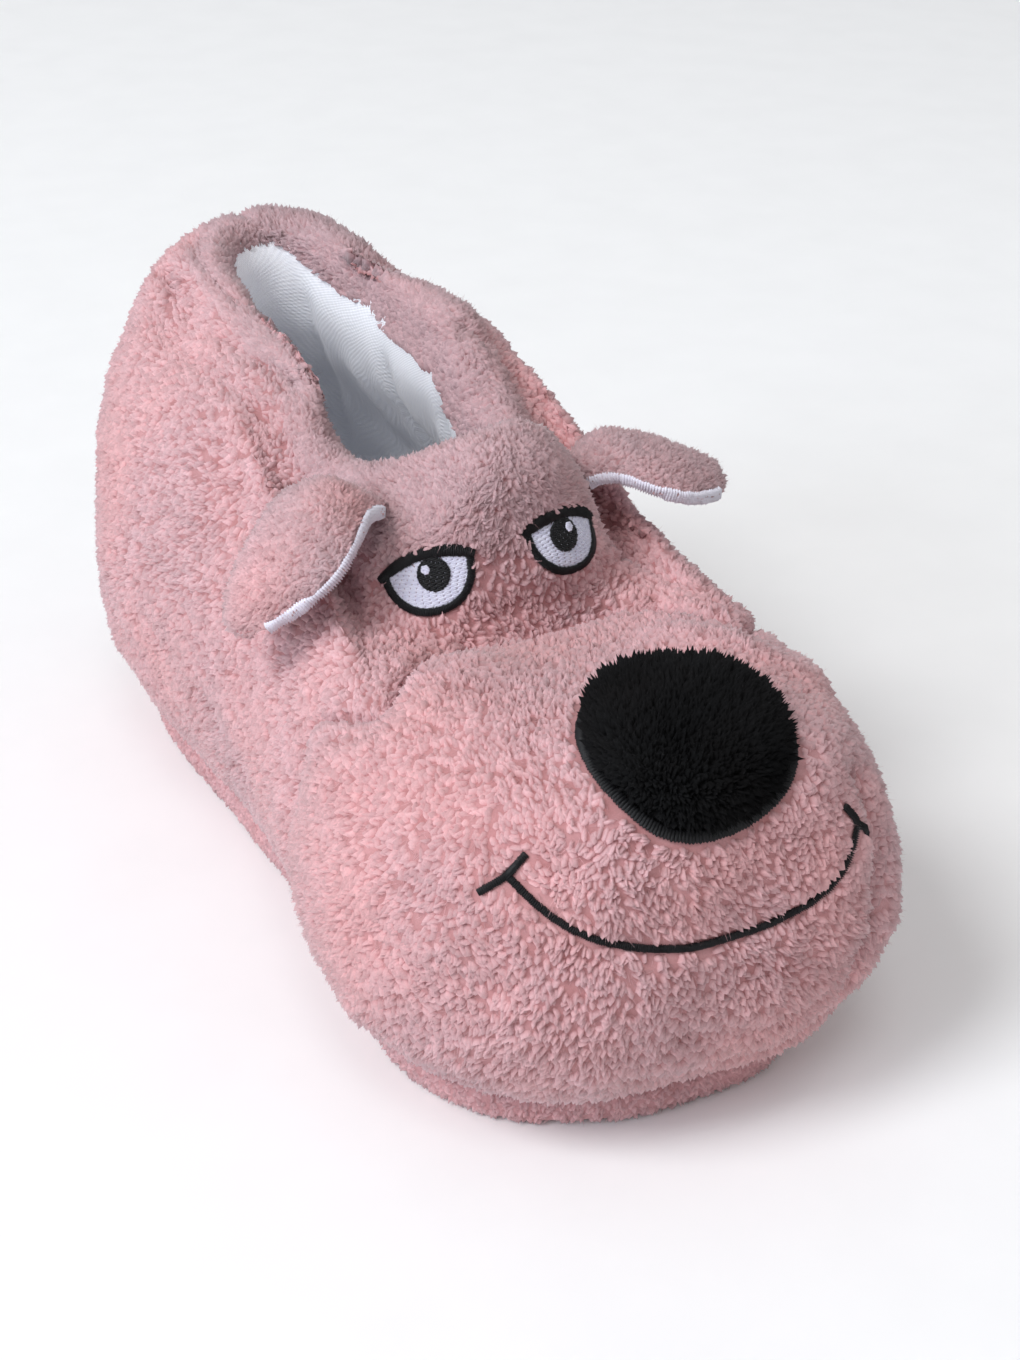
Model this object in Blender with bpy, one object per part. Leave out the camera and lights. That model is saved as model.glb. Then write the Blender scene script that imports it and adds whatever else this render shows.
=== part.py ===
"""Plush house slipper with a padded collar, a stuffed muzzle, a plush nose and two drooping ears.

Metres, +Z up. The slipper stands on the plane z = 0 with its toe towards -Y and its heel towards +Y.
The origin is on the sole's underside, half way along the slipper's length. The slipper's right is -X.
Places along the slipper are counted from the back of the heel towards the toe.
"""
import math

import bmesh
import bpy
from mathutils import Vector
from mathutils.bvhtree import BVHTree

# Upper
LENGTH = 0.300
MUZZLE_WIDTH = 0.144
QUARTER_WIDTH = 0.134
MUZZLE_HEIGHT = 0.105
COLLAR_HEIGHT = 0.150
PADDING = 0.013
SWING = math.radians(-6.3)
BLUNTNESS = 2.4
RIGHT_TOE_BLUNTNESS = 2.05
LEFT_TOE_BLUNTNESS = 2.75

# Sole and insole
SOLE_THICKNESS = 0.010
SOLE_OVERHANG = 0.0025
SOLE_ROUNDING = 0.0040
INSOLE_THICKNESS = 0.005
INSOLE_ROUNDING = 0.0012
CLEARANCE = 0.0003

# Nose
NOSE_WIDTH = 0.053
NOSE_DEPTH = 0.047
NOSE_PILE = 0.0075
NOSE_LOCK = 0.0007
NOSE_SEAT = 0.0006
NOSE_RING = 6.6
NOSE_TURN = 0.01
NOSE_PITCH = math.radians(49)
NOSE_ROLL = math.radians(28)
NOSE_EDGE_SHARE = 0.30
NOSE_EDGE_LOCKS = 9
NOSE_INNER_LOCKS = 5

# Ears
EAR_LENGTH = 0.035
EAR_WIDTH = 0.038
EAR_THICKNESS = 0.010
EAR_CUP = 0.008
EAR_LIFT = 0.0014
EAR_SLOPE = 0.35
EAR_ROOT_SHARE = 0.33
EAR_SEAT_SHARES = (0.35, 0.70)

# Mesh fineness
AROUND = 64
STEPS_PER_ROW = 2
SWING_STEPS = 24
NOSE_ROWS = 7
NOSE_AROUND = 36
EAR_ROWS = 13
EAR_AROUND = 24
LIFT_TRIES = 8
SHARP_ANGLE = math.radians(50)

# A ring runs from the front, past the muzzle's side and the quarter's side, to the back.
# MUZZLE_SIDE and QUARTER_SIDE say how far round from front to back those two places lie.
MUZZLE_SIDE = 0.36
QUARTER_SIDE = 0.70

# The centre line turns by SWING between these two shares of LENGTH.
SWING_FROM = 0.42
SWING_TO = 0.82

# Rings of the upper, from the sole edge up the outside, over the collar and down the lining.
# front, muzzle_at, quarter_at and back are shares of LENGTH, counted from the heel.
# muzzle_half is a share of half MUZZLE_WIDTH, waist_half and quarter_half of half QUARTER_WIDTH.
# z_front and z_muzzle are shares of MUZZLE_HEIGHT above the sole, z_quarter and z_back of COLLAR_HEIGHT
# above the sole. inside is the share of PADDING by which the ring lies in from those places.
RING_COLUMNS = (
    "name", "front", "muzzle_at", "quarter_at", "back", "muzzle_half", "waist_half", "quarter_half",
    "z_front", "z_muzzle", "z_quarter", "z_back", "inside")
RINGS = (
    ("sole edge", 0.920, 0.76, 0.26, 0.045, 0.74, 0.73, 0.73, 0.000, 0.000, 0.000, 0.000, 0.0),
    ("turn", 0.960, 0.76, 0.26, 0.022, 0.87, 0.85, 0.87, 0.085, 0.085, 0.079, 0.079, 0.0),
    ("lower bulge", 0.990, 0.76, 0.26, 0.005, 0.97, 0.93, 0.98, 0.253, 0.253, 0.215, 0.215, 0.0),
    ("widest", 1.000, 0.76, 0.27, 0.000, 1.00, 0.94, 1.00, 0.434, 0.434, 0.379, 0.411, 0.0),
    ("upper bulge", 0.994, 0.76, 0.28, 0.003, 0.97, 0.90, 0.97, 0.627, 0.615, 0.542, 0.607, 0.0),
    ("shoulder", 0.980, 0.75, 0.29, 0.008, 0.90, 0.85, 0.90, 0.819, 0.755, 0.673, 0.760, 0.0),
    ("muzzle top", 0.945, 0.74, 0.30, 0.014, 0.79, 0.78, 0.81, 0.960, 0.850, 0.766, 0.858, 0.0),
    ("bridge", 0.865, 0.71, 0.31, 0.024, 0.67, 0.69, 0.71, 1.000, 0.905, 0.837, 0.924, 0.0),
    ("muzzle root", 0.760, 0.65, 0.32, 0.030, 0.60, 0.65, 0.66, 0.955, 0.915, 0.864, 0.946, 0.0),
    ("head seam", 0.652, 0.59, 0.32, 0.036, 0.55, 0.61, 0.61, 0.875, 0.925, 0.886, 0.962, 0.0),
    ("brow", 0.632, 0.54, 0.32, 0.050, 0.50, 0.54, 0.53, 1.022, 1.020, 0.918, 0.989, 0.0),
    ("collar side", 0.607, 0.49, 0.33, 0.068, 0.42, 0.46, 0.46, 1.249, 1.147, 0.940, 1.000, 0.0),
    ("collar top", 0.589, 0.46, 0.33, 0.068, 0.44, 0.48, 0.47, 1.339, 1.181, 0.940, 0.995, 0.5),
    ("collar inner", 0.575, 0.44, 0.33, 0.065, 0.46, 0.50, 0.50, 1.249, 1.125, 0.891, 0.946, 1.0),
    ("facing edge", 0.564, 0.43, 0.33, 0.069, 0.45, 0.50, 0.49, 1.000, 0.921, 0.727, 0.782, 1.0),
    ("lining top", 0.627, 0.50, 0.33, 0.037, 0.65, 0.71, 0.74, 0.808, 0.787, 0.496, 0.569, 1.0),
    ("toe room roof", 0.793, 0.64, 0.32, 0.017, 0.71, 0.77, 0.83, 0.637, 0.573, 0.349, 0.386, 1.0),
    ("toe room front", 0.903, 0.72, 0.30, 0.010, 0.80, 0.84, 0.88, 0.402, 0.349, 0.203, 0.203, 1.0),
    ("lining bottom", 0.917, 0.74, 0.28, 0.023, 0.82, 0.84, 0.86, 0.125, 0.104, 0.056, 0.056, 1.0),
    ("lining edge", 0.895, 0.74, 0.28, 0.040, 0.77, 0.79, 0.81, 0.000, 0.000, 0.000, 0.000, 1.0),
)
RING_NAMES = [row[0] for row in RINGS]
COLLAR_TOP = RING_NAMES.index("collar top")

# Soft folds of the slack collar and quarters. Each runs between two places on the outside, given as a
# ring and a share of the way round, on side -1 (right) or +1 (left).
# depth and width are shares of PADDING.
FOLD_COLUMNS = ("name", "side", "from_ring", "from_turn", "to_ring", "to_turn", "depth", "width")
FOLDS = (
    ("right collar fold", -1, 9.2, 0.80, 11.3, 0.57, 0.40, 0.80),
    ("left collar fold", 1, 12.0, 0.80, 9.0, 0.74, 0.35, 0.90),
    ("right waist fold", -1, 8.6, 0.47, 4.0, 0.44, 0.22, 1.10),
    ("left waist fold", 1, 8.6, 0.47, 4.0, 0.44, 0.22, 1.10),
)

# Rows of the sole's side, from the underside to the top: how far in from the outline, as a share of
# SOLE_ROUNDING, and how high, as a share of SOLE_THICKNESS.
SOLE_ROWS = (
    ("underside", 1.00, 0.00),
    ("lower edge", 0.35, 0.08),
    ("lower side", 0.00, 0.30),
    ("upper side", 0.00, 0.72),
    ("upper edge", 0.30, 0.93),
    ("top", 1.00, 1.00),
)

# Sections of an ear, from its root to its tip: how far along and how wide and thick, as shares of
# EAR_LENGTH, EAR_WIDTH and EAR_THICKNESS, and how far it has drooped, as a share of EAR_LENGTH.
EAR_SECTIONS = (
    ("root", 0.00, 0.46, 0.80, 0.00),
    ("above root", 0.14, 0.66, 0.94, 0.00),
    ("swell", 0.34, 0.94, 1.00, 0.03),
    ("middle", 0.56, 1.00, 0.98, 0.10),
    ("taper", 0.77, 0.80, 0.90, 0.20),
    ("near tip", 0.93, 0.48, 0.74, 0.31),
    ("tip", 1.00, 0.18, 0.40, 0.36),
)

# Where each ear grows from the upper: ring, share of the way round, side, then the direction of its
# length, of its width and of its droop, as x towards that side, y and z.
EAR_PLACES = (
    ("ear_right", 10.8, 0.28, -1, (0.90, -0.20, -0.30), (-0.05, -0.95, 0.15), (0.40, -0.05, -0.92)),
    ("ear_left", 10.5, 0.33, 1, (0.93, -0.30, 0.28), (-0.10, -0.90, 0.25), (0.20, -0.10, -0.97)),
)


def blend(a, b, t):
    """Go from a to b as t goes from 0 to 1."""
    return a + (b - a) * t


def ease(t):
    """Go from 0 to 1 with a flat start and a flat end."""
    t = min(1.0, max(0.0, t))
    return t * t * (3.0 - 2.0 * t)


def through(values, place):
    """Read a smooth curve through evenly spaced values at a place counted in values."""
    last = len(values) - 1
    i = min(int(place), last - 1)
    t = place - i
    before = values[max(i - 1, 0)]
    here = values[i]
    after = values[i + 1]
    beyond = values[min(i + 2, last)]
    return 0.5 * (
        2.0 * here + (after - before) * t
        + (2.0 * before - 5.0 * here + 4.0 * after - beyond) * t * t
        + (3.0 * here - before - 3.0 * after + beyond) * t * t * t)


def centre_line(distance):
    """Give the sideways place, the place from the heel and the heading at a distance along the foot."""
    start = SWING_FROM * LENGTH
    span = (SWING_TO - SWING_FROM) * LENGTH
    if distance <= start:
        return 0.0, distance, 0.0
    step = (distance - start) / SWING_STEPS
    sideways = 0.0
    forward = start
    for i in range(SWING_STEPS):
        heading = SWING * ease(step * (i + 0.5) / span)
        sideways += math.sin(heading) * step
        forward += math.cos(heading) * step
    return sideways, forward, SWING * ease((distance - start) / span)


def place_on_foot(across, along, height):
    """Turn a place across and along the straight slipper into a point on the bent one."""
    sideways, forward, heading = centre_line(along)
    x = sideways + across * math.cos(heading)
    from_heel = forward - across * math.sin(heading)
    return Vector((x, LENGTH / 2 - from_heel, height))


def ring_values(place):
    """Read the ring table at a place counted in rings."""
    return {
        column: through([row[i] for row in RINGS], place)
        for i, column in enumerate(RING_COLUMNS) if i}


def ring_point(values, turn, side):
    """Give the point of a ring at a share of the way round, on one side."""
    inset = values["inside"] * PADDING
    half_muzzle = values["muzzle_half"] * MUZZLE_WIDTH / 2 - inset
    half_waist = values["waist_half"] * QUARTER_WIDTH / 2 - inset
    half_quarter = values["quarter_half"] * QUARTER_WIDTH / 2 - inset
    front = values["front"] * LENGTH - inset
    muzzle_at = values["muzzle_at"] * LENGTH
    quarter_at = values["quarter_at"] * LENGTH
    back = values["back"] * LENGTH + inset
    base = SOLE_THICKNESS + CLEARANCE
    z_front = blend(base, MUZZLE_HEIGHT, values["z_front"])
    z_muzzle = blend(base, MUZZLE_HEIGHT, values["z_muzzle"])
    z_quarter = blend(base, COLLAR_HEIGHT, values["z_quarter"])
    z_back = blend(base, COLLAR_HEIGHT, values["z_back"])
    power = 2.0 / BLUNTNESS
    toe_power = 2.0 / (LEFT_TOE_BLUNTNESS if side > 0 else RIGHT_TOE_BLUNTNESS)
    if turn < MUZZLE_SIDE:
        angle = turn / MUZZLE_SIDE * math.pi / 2
        across = half_muzzle * math.sin(angle) ** toe_power
        along = blend(muzzle_at, front, math.cos(angle) ** toe_power)
        height = blend(z_muzzle, z_front, math.cos(angle) ** 2)
    elif turn < QUARTER_SIDE:
        t = (turn - MUZZLE_SIDE) / (QUARTER_SIDE - MUZZLE_SIDE)
        middle = half_waist - (half_muzzle + half_quarter) / 2
        across = blend(half_muzzle, half_quarter, ease(t)) + middle * math.sin(math.pi * t) ** 2
        along = blend(muzzle_at, quarter_at, t)
        height = blend(z_muzzle, z_quarter, ease(t))
    else:
        angle = (turn - QUARTER_SIDE) / (1.0 - QUARTER_SIDE) * math.pi / 2
        across = half_quarter * max(0.0, math.cos(angle)) ** power
        along = blend(quarter_at, back, math.sin(angle) ** power)
        height = blend(z_quarter, z_back, math.sin(angle) ** 2)
    return place_on_foot(side * across, along, height)


def outside_point(place, turn, side):
    """Give the point of the upper at a place counted in rings and a share of the way round."""
    return ring_point(ring_values(place), turn, side)


def turn_and_side(i):
    """Go round a ring from the front, down the right side, to the back and up the left side."""
    share = 2.0 * i / AROUND
    if share <= 1.0:
        return share, -1
    return 2.0 - share, 1


def ring_points(place):
    """Give all the points of one ring."""
    values = ring_values(place)
    return [ring_point(values, *turn_and_side(i)) for i in range(AROUND)]


def distance_to_line(point, start, end):
    """Give the distance from a point to a straight line between two points."""
    along = end - start
    t = max(0.0, min(1.0, (point - start).dot(along) / along.length_squared))
    return (point - start - along * t).length


def sink_folds(rows, places):
    """Press the soft folds into the outside of the upper."""
    folds = []
    for row in FOLDS:
        fold = dict(zip(FOLD_COLUMNS, row))
        start = outside_point(fold["from_ring"], fold["from_turn"], fold["side"])
        end = outside_point(fold["to_ring"], fold["to_turn"], fold["side"])
        folds.append((start, end, fold["depth"] * PADDING, fold["width"] * PADDING))
    pressed = []
    for r, points in enumerate(rows):
        fade = ease(COLLAR_TOP + 1.0 - places[r])
        new_points = []
        for i, point in enumerate(points):
            forward = points[(i + 1) % AROUND] - points[i - 1]
            inward = Vector((forward.y, -forward.x, 0.0)).normalized()
            push = sum(
                depth * math.exp(-(distance_to_line(point, start, end) / width) ** 2)
                for start, end, depth, width in folds)
            new_points.append(point + inward * push * fade)
        pressed.append(new_points)
    return pressed


def material(name, colour, roughness):
    """Make a plain material."""
    made = bpy.data.materials.new(name)
    made.use_nodes = True
    shader = made.node_tree.nodes["Principled BSDF"]
    shader.inputs["Base Color"].default_value = (*colour, 1.0)
    shader.inputs["Roughness"].default_value = roughness
    shader.inputs["Metallic"].default_value = 0.0
    return made


def add_object(name, mesh_data, collection, finish):
    """Make an object of a bmesh, with its faces pointing out, shaded smooth."""
    bmesh.ops.recalc_face_normals(mesh_data, faces=mesh_data.faces)
    mesh = bpy.data.meshes.new(name)
    mesh_data.to_mesh(mesh)
    mesh_data.free()
    mesh.materials.append(finish)
    mesh.shade_smooth()
    mesh.set_sharp_from_angle(angle=SHARP_ANGLE)
    made = bpy.data.objects.new(name, mesh)
    collection.objects.link(made)
    return made


def loft(mesh_data, rows, closed=False):
    """Join rows of points into a skin, and the last row to the first where the loft is closed."""
    made = [[mesh_data.verts.new(point) for point in row] for row in rows]
    pairs = list(zip(made[:-1], made[1:]))
    if closed:
        pairs.append((made[-1], made[0]))
    for low, high in pairs:
        for i in range(len(low)):
            j = (i + 1) % len(low)
            mesh_data.faces.new((low[i], low[j], high[j], high[i]))
    return made


def upper(collection, finish):
    """The padded upper: one hollow skin over the outside, the collar roll and the lining."""
    last = len(RINGS) - 1
    places = [i / STEPS_PER_ROW for i in range(last * STEPS_PER_ROW + 1)]
    rows = sink_folds([ring_points(place) for place in places], places)
    mesh_data = bmesh.new()
    loft(mesh_data, rows, closed=True)
    return add_object("upper", mesh_data, collection, finish)


def offset_outline(points, distance):
    """Move a level outline out by a distance, or in by a negative one."""
    moved = []
    count = len(points)
    for i, point in enumerate(points):
        forward = points[(i + 1) % count] - points[i - 1]
        inward = Vector((forward.y, -forward.x, 0.0)).normalized()
        moved.append(point - inward * distance)
    return moved


def at_height(points, height):
    """Give the same outline at another height."""
    return [Vector((point.x, point.y, height)) for point in points]


def slab(name, outline, rows, collection, finish):
    """A level pad with rounded edges, from rows of how far in and how high."""
    mesh_data = bmesh.new()
    made = loft(mesh_data, [at_height(offset_outline(outline, -inward), height) for inward, height in rows])
    mesh_data.faces.new(made[0])
    mesh_data.faces.new(made[-1])
    bmesh.ops.triangulate(mesh_data, faces=[face for face in mesh_data.faces if len(face.verts) > 4])
    return add_object(name, mesh_data, collection, finish)


def outsole(collection, finish):
    """The soft sole, a little wider than the edge of the upper that is sewn to it."""
    outline = offset_outline(ring_points(0), SOLE_OVERHANG)
    rows = [(inward * SOLE_ROUNDING, height * SOLE_THICKNESS) for _, inward, height in SOLE_ROWS]
    return slab("outsole", outline, rows, collection, finish)


def insole(collection, finish):
    """The footbed, inside the edge of the lining and on top of the sole."""
    outline = offset_outline(ring_points(len(RINGS) - 1), -CLEARANCE)
    base = SOLE_THICKNESS + CLEARANCE
    rows = (
        (0.0, base),
        (0.0, base + INSOLE_THICKNESS - INSOLE_ROUNDING),
        (INSOLE_ROUNDING, base + INSOLE_THICKNESS),
    )
    return slab("insole", outline, rows, collection, finish)


def skin_of(made):
    """Give a search tree of an object's faces."""
    mesh_data = bmesh.new()
    mesh_data.from_mesh(made.data)
    bmesh.ops.triangulate(mesh_data, faces=mesh_data.faces)
    tree = BVHTree.FromBMesh(mesh_data)
    mesh_data.free()
    return tree


def lift_needed(skin, row, way, gap):
    """Give how far a section of points has to move one way until each is the gap clear of the upper."""
    lift = 0.0
    for _ in range(LIFT_TRIES):
        short = 0.0
        for point in row:
            lifted = point + way * lift
            nearest, normal, _, distance = skin.find_nearest(lifted)
            outside = (lifted - nearest).dot(normal) > 0.0
            short = max(short, gap - (distance if outside else -distance))
        if short < gap / 100:
            break
        lift += short
    return lift


def on_skin(skin, point):
    """Give the point just clear of the upper that is nearest to a point."""
    nearest, normal, _, _ = skin.find_nearest(point)
    return nearest + normal * CLEARANCE


def cap(mesh_data, ring_verts, middle):
    """Close the end of a loft with a fan round a middle point."""
    pole = mesh_data.verts.new(middle)
    for i, vert in enumerate(ring_verts):
        mesh_data.faces.new((vert, ring_verts[(i + 1) % len(ring_verts)], pole))


def nose(collection, finish, skin):
    """The plush nose: a domed patch that follows the muzzle's top and front, with locks of pile."""
    heading = centre_line(LENGTH)[2]
    forward = Vector((math.sin(heading), -math.cos(heading), 0.0))
    facing = forward * math.cos(NOSE_PITCH) + Vector((0.0, 0.0, math.sin(NOSE_PITCH)))
    level = Vector((math.cos(heading), math.sin(heading), 0.0))
    upright = facing.cross(level).normalized()
    across = level * math.cos(NOSE_ROLL) + upright * math.sin(NOSE_ROLL)
    upward = upright * math.cos(NOSE_ROLL) - level * math.sin(NOSE_ROLL)
    centre = outside_point(NOSE_RING, NOSE_TURN, 1)
    reach = 2.0 * NOSE_PILE + NOSE_DEPTH
    bottom = []
    top = []
    for r in range(NOSE_ROWS):
        share = (r + 1) / NOSE_ROWS
        low_row = []
        high_row = []
        for i in range(NOSE_AROUND):
            angle = 2.0 * math.pi * i / NOSE_AROUND
            lock = 1.0 + 2.0 * NOSE_LOCK / NOSE_WIDTH * math.sin(NOSE_EDGE_LOCKS * angle) * share
            offset = across * (math.cos(angle) * NOSE_WIDTH / 2) + upward * (math.sin(angle) * NOSE_DEPTH / 2)
            start = centre + offset * share * lock + facing * reach
            hit, normal, _, _ = skin.ray_cast(start, -facing)
            dome = math.sqrt(max(0.0, 1.0 - share ** 4))
            lumps = NOSE_LOCK * math.sin(NOSE_INNER_LOCKS * angle + (NOSE_INNER_LOCKS - 1) * r) * dome * share
            low_row.append(hit + normal * NOSE_SEAT)
            high_row.append(hit + normal * (NOSE_SEAT + NOSE_PILE * max(NOSE_EDGE_SHARE, dome) + lumps))
        bottom.append(low_row)
        top.append(high_row)
    hit, normal, _, _ = skin.ray_cast(centre + facing * reach, -facing)
    mesh_data = bmesh.new()
    made = loft(mesh_data, bottom + top[::-1])
    cap(mesh_data, made[0], hit + normal * NOSE_SEAT)
    cap(mesh_data, made[-1], hit + normal * (NOSE_SEAT + NOSE_PILE))
    return add_object("nose", mesh_data, collection, finish)


def ear(name, ring, turn, side, length_way, width_way, droop_way, collection, finish, skin):
    """A padded ear: a cupped, tapering flap whose root lies on the upper."""
    def towards(way):
        return Vector((way[0] * side, way[1], way[2])).normalized()

    along = towards(length_way)
    across = (towards(width_way) - along * towards(width_way).dot(along)).normalized()
    out = across.cross(along).normalized() * side
    droop = towards(droop_way)
    _, normal, _, _ = skin.find_nearest(outside_point(ring, turn, side))
    root = outside_point(ring, turn, side) + normal * EAR_THICKNESS * EAR_ROOT_SHARE
    rows = []
    for step in range(EAR_ROWS):
        place = step / (EAR_ROWS - 1) * (len(EAR_SECTIONS) - 1)
        reach, width, thickness, drooped = (
            through([section[k] for section in EAR_SECTIONS], place) for k in range(1, 5))
        centre = root + along * reach * EAR_LENGTH + droop * drooped * EAR_LENGTH
        row = []
        for i in range(EAR_AROUND):
            angle = 2.0 * math.pi * i / EAR_AROUND
            sideways = math.cos(angle) * width * EAR_WIDTH / 2
            cup = EAR_CUP * (math.cos(angle) ** 2) * width
            thick = math.sin(angle) * thickness * EAR_THICKNESS / 2
            row.append(centre + across * sideways + out * (thick - cup))
        rows.append(row)
    needed = [lift_needed(skin, row, out, EAR_LIFT) for row in rows]
    spacing = EAR_SLOPE * EAR_LENGTH / (EAR_ROWS - 1)
    for i, row in enumerate(rows):
        lift = max(need - spacing * abs(i - j) for j, need in enumerate(needed) if j)
        rows[i] = [point + out * max(0.0, lift) for point in row]
    rows[0] = [on_skin(skin, point) for point in rows[0]]
    root_middle = sum(rows[0], Vector()) / EAR_AROUND
    tip_middle = sum(rows[-1], Vector()) / EAR_AROUND
    seat = [[on_skin(skin, root_middle.lerp(point, share)) for point in rows[0]] for share in EAR_SEAT_SHARES]
    mesh_data = bmesh.new()
    made = loft(mesh_data, seat + rows)
    cap(mesh_data, made[0], on_skin(skin, root_middle))
    cap(mesh_data, made[-1], tip_middle)
    return add_object(name, mesh_data, collection, finish)


def main():
    for old in list(bpy.data.objects):
        bpy.data.objects.remove(old)
    collection = bpy.data.collections.new("house_slipper")
    bpy.context.scene.collection.children.link(collection)
    fleece = material("fleece", (0.72, 0.36, 0.35), 0.95)
    sole_fleece = material("sole_fleece", (0.66, 0.33, 0.32), 0.95)
    footbed = material("footbed", (0.84, 0.86, 0.92), 0.85)
    plush = material("nose_plush", (0.012, 0.012, 0.013), 0.9)
    outsole(collection, sole_fleece)
    insole(collection, footbed)
    skin = skin_of(upper(collection, fleece))
    nose(collection, plush, skin)
    for place in EAR_PLACES:
        ear(*place, collection, fleece, skin)


main()
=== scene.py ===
"""The looks of a plush house slipper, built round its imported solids.

Metres, +Z up, toe towards -Y, the slipper's right towards -X, as in the solids.
A place on the upper is a pair: a ring, counted up the outside, over the collar and down the lining, and a
turn, which is 0 at the front, -1 at the back by the right side and 1 at the back by the left side.
"""
import math

import bpy
import numpy as np
from mathutils import Matrix, Vector
from mathutils.bvhtree import BVHTree
from mathutils.kdtree import KDTree


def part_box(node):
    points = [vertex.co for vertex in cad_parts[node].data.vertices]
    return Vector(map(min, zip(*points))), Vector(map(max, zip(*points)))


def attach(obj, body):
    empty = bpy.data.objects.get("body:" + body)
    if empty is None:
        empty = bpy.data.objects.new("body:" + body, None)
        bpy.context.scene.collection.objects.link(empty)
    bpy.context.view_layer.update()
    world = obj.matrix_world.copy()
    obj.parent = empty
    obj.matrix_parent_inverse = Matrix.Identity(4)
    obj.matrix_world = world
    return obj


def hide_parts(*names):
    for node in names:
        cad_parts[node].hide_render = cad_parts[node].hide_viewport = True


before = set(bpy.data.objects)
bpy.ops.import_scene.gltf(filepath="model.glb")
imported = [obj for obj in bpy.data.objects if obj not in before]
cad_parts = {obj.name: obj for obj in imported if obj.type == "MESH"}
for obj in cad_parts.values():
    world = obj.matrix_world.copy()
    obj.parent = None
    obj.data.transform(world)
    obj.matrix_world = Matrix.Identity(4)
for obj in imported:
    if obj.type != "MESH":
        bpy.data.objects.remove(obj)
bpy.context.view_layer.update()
rng = np.random.default_rng(11)

MM = 0.001

# Driving sizes of the upper and the sole, as in their solids
LENGTH = 0.300
MUZZLE_WIDTH = 0.144
QUARTER_WIDTH = 0.134
MUZZLE_HEIGHT = 0.105
COLLAR_HEIGHT = 0.150
PADDING = 0.013
SWING = math.radians(-6.3)
BLUNTNESS = 2.4
RIGHT_TOE_BLUNTNESS = 2.05
LEFT_TOE_BLUNTNESS = 2.75
MUZZLE_SIDE = 0.36
QUARTER_SIDE = 0.70
SWING_FROM = 0.42
SWING_TO = 0.82
CLEARANCE = 0.0003
SOLE_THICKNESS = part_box("outsole")[1].z
SOLE_OVERHANG = 0.0025
SOLE_ROUNDING = 0.0040
FOOTBED_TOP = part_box("insole")[1].z

# How far the skin lies in under the pile, and the ring that the facing's uneven hem is counted as
PILE_DEPTH = 1.5 * MM
HEM = 14.0

# The bent middle line is laid out at so many points, over this share of LENGTH
SPINE_REACH = 1.1
SPINE_POINTS = 600

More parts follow.
